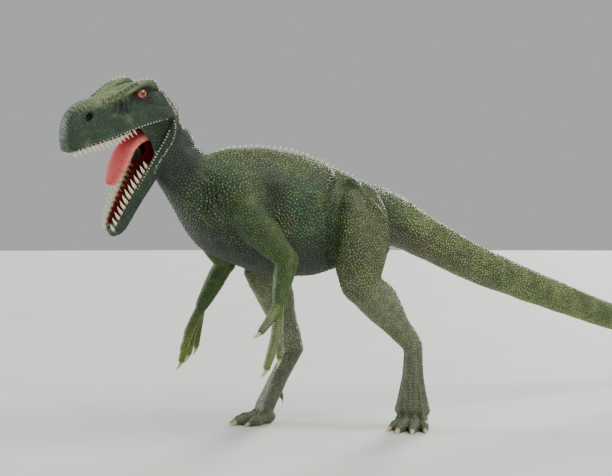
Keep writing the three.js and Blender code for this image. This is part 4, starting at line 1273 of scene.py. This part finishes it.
def toothForms(rows, row, placing):
    forms = []
    for side in (1, -1):
        for i in range(row["count"]):
            share = i / (row["count"] - 1)
            forward = row["from"] + (row["to"] - row["from"]) * share
            root = lipPoint(rows, forward, side, mouth["toothShare"], row["sign"])
            size = 0.6 + 0.4 * math.sin(math.pi * (0.1 + 0.82 * share)) + 0.12 * (draws.random() - 0.5)
            axis = (row["sweep"], -side * row["splay"], row["sign"])
            thick = row["radius"] * (0.7 + 0.3 * size)
            tooth = curvedCone(root, axis, (1, 0, 0), row["length"] * size, thick, curve=0.16,
                               power=(1.7, 0.85), sides=10, steps=8, sunk=0.25, flat=0.8)
            forms.append(placed(tooth, placing))
    return joined(forms)


addPiece("teeth_upper", toothForms(skullRows, teethUpper, headToBody), toothHorn)
addPiece("teeth_lower", toothForms(jawRows, teethLower, jawToBody), toothHorn)

# Tongue, with a groove down its middle
tongueRows = [(60, 0, 36, 26), (105, 60, 42, 22), (170, 94, 50, 18), (240, 98, 56, 15), (310, 90, 40, 11)]


def tongueForm():
    run = limbRun([(-f, 0, up) for f, up, _, _ in tongueRows], [(w, t, t) for _, _, w, t in tongueRows])
    shape = outline(48, 2.3, 2.3)
    rings = ringsOf(run, np.linspace(0, 4, 60), shape, (0, 16))
    s = sectionsAt(run, np.linspace(0, 4, 60))
    dip = np.exp(-(shape[:, 0] / 0.32) ** 2) * (shape[:, 1] > 0)
    ups = np.concatenate([s["up"], np.tile(s["up"][-1], (4, 1))])
    rings -= ups[:, None] * (7 * dip)[None, :, None]
    rings += ups[:, None] * (3 * np.abs(shape[:, 0]) ** 4)[None, :, None]
    verts, faces, _ = skinOver(rings)
    edge = np.clip(np.abs(shape[:, 0]) ** 2.2 * 0.85 + 0.1, 0, 1)
    marks = np.append(np.tile(edge, len(rings)), [0.3, 0.8])
    return jawToBody(verts), faces, marks


addPiece("tongue_body", tongueForm(), tongueFlesh, ("tongue",))


# Linings of the mouth, as closed thin sheets just proud of the hide
def sheetForm(grid, thick):
    rows, columns = grid.shape[:2]
    across = np.gradient(grid, axis=1)
    onward = np.gradient(grid, axis=0)
    normal = unit(np.cross(onward, across))
    both = np.stack([grid, grid + normal * thick])
    index = np.arange(rows * columns).reshape(rows, columns)
    a, b, c, d = index[:-1, :-1], index[:-1, 1:], index[1:, 1:], index[1:, :-1]
    top = np.stack([a, b, c, d], axis=-1).reshape(-1, 4)
    n = rows * columns
    rim = np.concatenate([index[0, :-1], index[:-1, -1], index[-1, :0:-1], index[:0:-1, 0]])
    after = np.roll(rim, -1)
    sides = np.stack([after, rim, rim + n, after + n], axis=1)
    return both.reshape(-1, 3), [np.vstack([top, top[:, ::-1] + n, sides])]


def liningForm(rows, depth, start, end, sign, placing):
    forward = np.linspace(end + 4, start - 8, 90)
    share = np.linspace(-1, 1, 40)
    wide, top, low = rowAt(rows, forward)
    reach = np.minimum(wide - mouth["wall"] + 3, np.interp(forward, (165, 215), (42, 80)))
    left = share[None] * reach[:, None]
    ahead = np.repeat(forward[:, None], 40, axis=1)
    hollow = hollowAt(rows, ahead.ravel(), left.ravel(), depth, start, end).reshape(ahead.shape)
    ridge = 1.2 * np.sin(ahead / 5 + 2.5 * np.abs(share[None])) * (1 - np.abs(share[None]) ** 3)
    edge = (low if sign < 0 else top)[:, None]
    height = edge - sign * (hollow - 1.6 - ridge)
    grid = np.stack([-ahead, left, height], axis=-1)
    verts, faces = sheetForm(placing(grid.reshape(-1, 3)).reshape(grid.shape), sign)
    # Marks are 0 down the middle and 1 at the sides, so the painted shade is deepest in the middle of the
    # hollow
    marks = np.tile((np.abs(share) ** 2)[None], (90, 1)).ravel()
    return verts, faces, np.concatenate([marks, marks])


roof = liningForm(skullRows, mouth["palateDepth"], mouth["palateFrom"], mouth["palateTo"], -1, headToBody)
floorOfMouth = liningForm(jawRows, mouth["floorDepth"], mouth["floorFrom"], mouth["floorTo"], 1, jawToBody)
addPiece("mouth_lining", joined([roof, floorOfMouth]), shadedLiningFlesh)
# The throat's marks are all 0, so it takes the lining's darkest painted shade
throatSlab = mouthWeb(skinSizes["throatReach"], skinSizes["throatHollow"],
                      -skinSizes["throat"], skinSizes["throat"], 14)
throatPiece = addPiece("throat_flesh", placed(throatSlab, headToBody), shadedLiningFlesh,
                       ("throat",))
throatPiece.data.shade_flat()


# Eyes and lids
def eyeAxes(side):
    a = math.radians(eyeball["turn"])
    out = unit(np.array([-math.sin(a), -side * math.cos(a), 0.1]))
    ahead = unit(np.array([-math.cos(a), side * math.sin(a), 0]))
    return out, ahead, np.cross(out, ahead) * -side


def eyeForm(side, rings=28, sides=40):
    out, ahead, up = (v @ headTurn.T for v in eyeAxes(side))
    swing = np.linspace(0.02, math.pi - 0.02, rings)
    turn = np.linspace(0, 2 * math.pi, sides, endpoint=False)
    bulge = 1 + 0.09 * np.exp(-(swing / 0.5) ** 2)          # the clear front stands a little proud
    flat = ahead * np.cos(turn)[:, None] + up * np.sin(turn)[:, None]
    grid = (eyeSpot(side) + 1.08 * eyeball["radius"] * (flat[None] * np.sin(swing)[:, None, None]
            + out * (np.cos(swing) * bulge)[:, None, None]))
    verts, faces, _ = skinOver(grid)
    return verts, faces, np.append(np.repeat(swing / math.pi, sides), [0, 1])


lidRows = [      # half width, half height, how proud, thickness
    (20.5, 17.5, 10.5, 2.4), (25.5, 21.5, 7.5, 3.6), (31.5, 26.5, 4.2, 3.4),
]


def lidForms(side):
    out, ahead, up = (v @ headTurn.T for v in eyeAxes(side))
    turn = np.linspace(0, 2 * math.pi, 56, endpoint=False)
    forms = []
    for wide, tall, proud, thick in lidRows:
        lift = np.where(np.sin(turn) > 0, 1.0, 0.88)
        line = (eyeSpot(side) + ahead * (wide * np.cos(turn))[:, None]
                + up * (tall * np.sin(turn) * lift)[:, None]
                + out * (proud + 2.5 * np.abs(np.sin(turn)))[:, None])
        radial = unit(ahead * (np.cos(turn) * wide)[:, None] + up * (np.sin(turn) * tall)[:, None])
        swing = np.linspace(0, 2 * math.pi, 12, endpoint=False)
        fat = thick * (1 + 0.3 * np.sin(turn))
        rings = (line[:, None] + radial[:, None] * (np.cos(swing)[None] * fat[:, None])[..., None]
                 + out * (np.sin(swing)[None] * fat[:, None])[..., None])
        forms.append(skinOver(rings, closed=True))
    return forms


for name, side in (("left", 1), ("right", -1)):
    addPiece(f"eyeball_{name}", eyeForm(side), eyeGlass, (f"eye_{name}",))


def paintHide(mesh, tones):
    storeMark(mesh, "tint", tones)
    storeMark(mesh, "gloss", np.full(len(tones), hideGloss))


lidPiece = addPiece("eyelids", joined(lidForms(1) + lidForms(-1)), hide)
paintHide(lidPiece.data, np.tile(hue["eyePatch"] * 1.3, (len(lidPiece.data.vertices), 1)))

# Claws on every digit
clawSizes = {"thick": 0.82, "toe": 42, "finger": 48, "spur": 32, "floorGap": 0.5}


def clawForm(digit, length):
    run = digit["run"]
    s = sectionsAt(run, len(run) - 1, digit["across"])
    tip, along, radius = s["middle"][0], s["along"][0], s["size"][0, 0]
    return curvedCone(tip + along * 1.5, along, digit["down"], length * 0.9, radius * clawSizes["thick"],
                      curve=0.34, power=(1.25, 0.85), sides=12, steps=10, sunk=0.12, flat=0.86)


for name in ("left", "right"):
    for i, digit in enumerate(legForms[name]["digits"]):
        verts, faces, marks = clawForm(digit, clawSizes["spur" if i == 4 else "toe"])
        verts[:, 2] = np.maximum(verts[:, 2], clawSizes["floorGap"])
        addPiece(f"claw_toe_{name}_{i + 1}", (verts, faces, marks), clawHorn,
                 (f"toe_claw_{name}_{i + 1}",))
    for i, digit in enumerate(armForms[name]["digits"]):
        addPiece(f"claw_finger_{name}_{i + 1}", clawForm(digit, clawSizes["finger"]), clawHorn,
                 (f"finger_claw_{name}_{i + 1}",))

# Knobs along the back, the tail root and the brows
backKnobs = {"from": 3.15, "to": 7.6, "pitch": 27, "height": 23, "radius": 6.0, "least": 0.65}
tailKnobs = {"from": 7.64, "to": 8.6, "pitch": 23, "height": 16, "radius": 4.8, "least": 0.5}
browKnobs = {"count": 6, "from": 2.05, "to": 3.7, "height": 13, "radius": 3.4}


def knobRow(row):
    u = np.linspace(row["from"], row["to"], 900)
    s = sectionsAt(spine, u)
    ridge = s["middle"] + s["up"] * s["size"][:, 1:2]
    walked = walkedAlong(ridge)
    forms = []
    for spot in np.arange(0, walked[-1], row["pitch"]):
        i = int(np.searchsorted(walked, spot))
        share = row["least"] + (1 - row["least"]) * math.sin(math.pi * spot / walked[-1]) ** 0.6
        size = share * (0.9 + 0.2 * draws.random())
        axis = s["up"][i] + 0.22 * s["along"][i]
        forms.append(curvedCone(ridge[i], axis, s["along"][i], row["height"] * size, row["radius"] * size,
                                curve=0.1, power=(3.6, 0.5), sides=10, steps=9, sunk=0.4))
    return forms


addPiece("back_knobs", joined(knobRow(backKnobs) + knobRow(tailKnobs)), knobHorn)


def browForms():
    forms = []
    for side in (1, -1):
        run = browRun(side)
        for i in range(browKnobs["count"]):
            at = browKnobs["from"] + (browKnobs["to"] - browKnobs["from"]) * i / (browKnobs["count"] - 1)
            s = sectionsAt(run, at)
            axis = unit(np.array([0.15, -side * 0.25, 1.0]))
            root = s["middle"][0] + axis * (s["size"][0, 1] - 2)
            tall = browKnobs["height"] * (0.75 + 0.4 * draws.random())
            knob = curvedCone(root, axis, (1, 0, 0), tall, browKnobs["radius"], curve=0.14, power=(2.0, 0.7),
                              sides=10, sunk=0.4)
            forms.append(placed(knob, headToBody))
    return forms


addPiece("brow_knobs", joined(browForms()), knobHorn)

# Where the finished skin is nearest to a point, and which way it faces
skinTree = KDTree(len(points))
for i, p in enumerate(body):
    skinTree.insert(p, i)
skinTree.balance()


def onSkin(p):
    i = skinTree.find(p)[1]
    return body[i], normals[i]


def plateForms():
    forms = []
    for side in (1, -1):
        for at in np.linspace(0.25, 2.1, 8):                # rounded plates over the brow
            s = sectionsAt(browRun(side), at)
            upward = np.array([0, -side * 0.7, 0.7]) * s["size"][0, 1]
            root, facing = onSkin(headToBody(s["middle"][0] + upward))
            forms.append(bead(root - facing * 1.5, facing, (0.3, 0, 1), 9 + 2 * draws.random(), 7,
                              stretch=0.75, sides=12, steps=6))
    return forms


platePiece = addPiece("brow_plates", joined(plateForms()), hide)
plateTone = hue["snout"] * hideDepth * (0.55 + 0.6 * draws.random((len(platePiece.data.vertices), 1)))
paintHide(platePiece.data, plateTone)

# Pale bead scales along both lips and down the rear rim of the head
lipBeads = {"pitch": 12.5, "radius": 3.7, "height": 4.6}
rimBeads = {"pitch": 8.5, "radius": 3.2, "height": 2.6}


def lipBeadForms(rows, start, end, sign, placing):
    forms = []
    for side in (1, -1):
        for forward in np.arange(start, end, lipBeads["pitch"]):
            root = lipPoint(rows, forward, side, mouth["lipShare"], sign) + (0, -side * 5.6, sign * 4.2)
            size = (0.85 + 0.3 * draws.random()) * np.interp(forward, (200, 320), (1, 0.6))
            small = bead(root, (0, -side * 0.8, 0.6 * sign), (1, 0, 0), lipBeads["radius"] * size,
                         lipBeads["height"] * size, stretch=1.05, sides=9, steps=5)
            forms.append(placed(small, placing))
    return forms


def rimForms(line, placing):
    forms = []
    for side in (1, -1):
        turned = [(-f, -side * out, up) for f, out, up in line]
        path = throughPoints(turned, np.linspace(0, len(line) - 1, 300))
        walked = walkedAlong(path)
        for spot in np.arange(0, walked[-1], rimBeads["pitch"]):
            root, facing = onSkin(placing(path[int(np.searchsorted(walked, spot))]))
            size = 0.6 + 0.7 * draws.random()
            forms.append(bead(root, facing, (0, 0, 1), rimBeads["radius"] * size, rimBeads["height"] * size))
    return forms


lipLine = lipBeadForms(skullRows, 36, 424, -1, headToBody) + lipBeadForms(jawRows, 44, 300, 1, jawToBody)
addPiece("lip_beads", joined(lipLine), beadHorn)
addPiece("rim_beads", joined(rimForms(headRim, headToBody) + rimForms(jawRim, jawToBody)), beadHorn)

# Cross bands over the digits and the fronts of the feet
bandSizes = {       # from and to along the run, reach each way round it, pitch
    "finger": (0.5, 1.95, 52, 9.0), "toe": (0.9, 2.95, 55, 9.5), "instep": (0.25, 1.9, 34, 13), "rise": 1.5,
}


def bandForms(run, across, back, start, end, reach, pitch):
    u = np.linspace(start, end, 400)
    s = sectionsAt(run, u, across)
    walked = walkedAlong(s["middle"])
    forms = []
    for spot in np.arange(pitch / 2, walked[-1], pitch):
        i = int(np.searchsorted(walked, spot))
        along, side, up = s["along"][i], s["side"][i], s["up"][i]
        back2 = np.asarray(back, float) - np.dot(back, along) * along
        facing = math.atan2(np.dot(back2, up), np.dot(back2, side))
        turn = facing + np.radians(np.linspace(-reach, reach, 11))
        rise = np.where(np.sin(turn) > 0, s["size"][i, 1], s["size"][i, 2])
        rim = side * np.cos(turn)[:, None] * s["size"][i, 0] + up * (np.sin(turn) * rise)[:, None]
        reached = [np.linalg.norm(onSkin(s["middle"][i] + r)[0] - s["middle"][i]) for r in rim]
        rim *= np.mean(reached) / np.linalg.norm(rim, axis=1).mean() * 0.99
        fade = np.sin(np.linspace(0.25, math.pi - 0.25, 11))
        swing = np.linspace(0, 2 * math.pi, 8, endpoint=False)
        outward = unit(rim)
        proud = np.sin(swing) * bandSizes["rise"] * fade[:, None]
        rings = (s["middle"][i] + rim[:, None] + outward[:, None] * proud[..., None]
                 + along * (np.cos(swing) * pitch * 0.42)[None, :, None])
        verts, faces, _ = skinOver(rings)
        marks = np.append(np.tile(np.clip(np.sin(swing), 0, 1), 11), [0, 0])
        forms.append((verts, faces, marks))
    return forms


bands = []
for name in ("left", "right"):
    for digit in armForms[name]["digits"]:
        bands += bandForms(digit["run"], digit["across"], digit["back"], *bandSizes["finger"])
    for digit in legForms[name]["digits"][:4]:
        bands += bandForms(digit["run"], digit["across"], digit["back"], *bandSizes["toe"])
for name, leg in legForms.items():
    ahead = (-math.cos(headingOf[name]), -math.sin(headingOf[name]), 0.25)
    bands += bandForms(leg["instep"], leg["across"], ahead, *bandSizes["instep"])
addPiece("digit_bands", joined(bands), scuteHorn)
print("stage: teeth, mouth, eyes, claws, knobs and scutes")

# Floor, light and camera
photoWidth, photoHeight = 612, 476
viewing = {"place": (-2225.6, -3561.8, 800), "heading": (0.5299, 0.8480, 0), "pixels": 977,
           "middleX": 328, "middleY": 238}


floorSizes = {"radius": 60, "sides": 64}       # metres


def paleFloor():
    mesh = bpy.data.meshes.new("floor")
    radius, sides = floorSizes["radius"], floorSizes["sides"]
    turn = np.linspace(0, 2 * math.pi, sides, endpoint=False)
    rim = [(radius * math.cos(t), radius * math.sin(t), 0) for t in turn]
    mesh.from_pydata(rim, [], [tuple(range(sides))])
    floor = bpy.data.objects.new("floor", mesh)
    bpy.context.scene.collection.objects.link(floor)
    material, tree, shader = newFinish("pale_floor")
    shade = ramp(tree, spots(tree, 0.8, 2), [(0.3, tone("d3d5d0")), (0.7, tone("dadcd7"))])
    tree.links.new(shade, shader.inputs["Base Color"])
    shader.inputs["Roughness"].default_value = 0.85
    mesh.materials.append(material)


suns = {       # direction it comes from, strength, softness, warmth
    "key": ((0.42, -0.62, 1.0), 2.2, 50, (1.0, 0.99, 0.95)),
    "rimRight": ((0.72, 0.55, 0.24), 4.2, 20, (1.0, 1.0, 0.94)),
    "rimLeft": ((-0.62, 0.72, 0.22), 2.8, 20, (0.95, 1.0, 1.0)),
}


sky = {"colour": (0.8, 0.82, 0.81, 1), "strength": 0.55}


def studioLight():
    for name, (source, strength, softness, colour) in suns.items():
        light = bpy.data.lights.new(name, "SUN")
        light.energy, light.angle, light.color = strength, math.radians(softness), colour
        lamp = bpy.data.objects.new(name, light)
        lamp.rotation_euler = (-Vector(source)).to_track_quat("-Z", "Y").to_euler()
        bpy.context.scene.collection.objects.link(lamp)
    world = bpy.data.worlds.new("studio")
    world.use_nodes = True
    backdrop = world.node_tree.nodes["Background"]
    backdrop.inputs["Color"].default_value = sky["colour"]
    backdrop.inputs["Strength"].default_value = sky["strength"]
    bpy.context.scene.world = world


def photoCamera():
    lens = bpy.data.cameras.new("camera")
    lens.sensor_width = 36
    lens.lens = viewing["pixels"] / photoWidth * 36
    lens.shift_x = -(viewing["middleX"] - photoWidth / 2) / photoWidth
    lens.shift_y = (viewing["middleY"] - photoHeight / 2) / photoWidth
    lens.clip_end = 200
    camera = bpy.data.objects.new("camera", lens)
    camera.location = toRow(viewing["place"])
    camera.rotation_euler = Vector(viewing["heading"]).to_track_quat("-Z", "Y").to_euler()
    bpy.context.scene.collection.objects.link(camera)
    bpy.context.scene.camera = camera


paleFloor()
studioLight()
photoCamera()
print("stage: floor, light and camera")
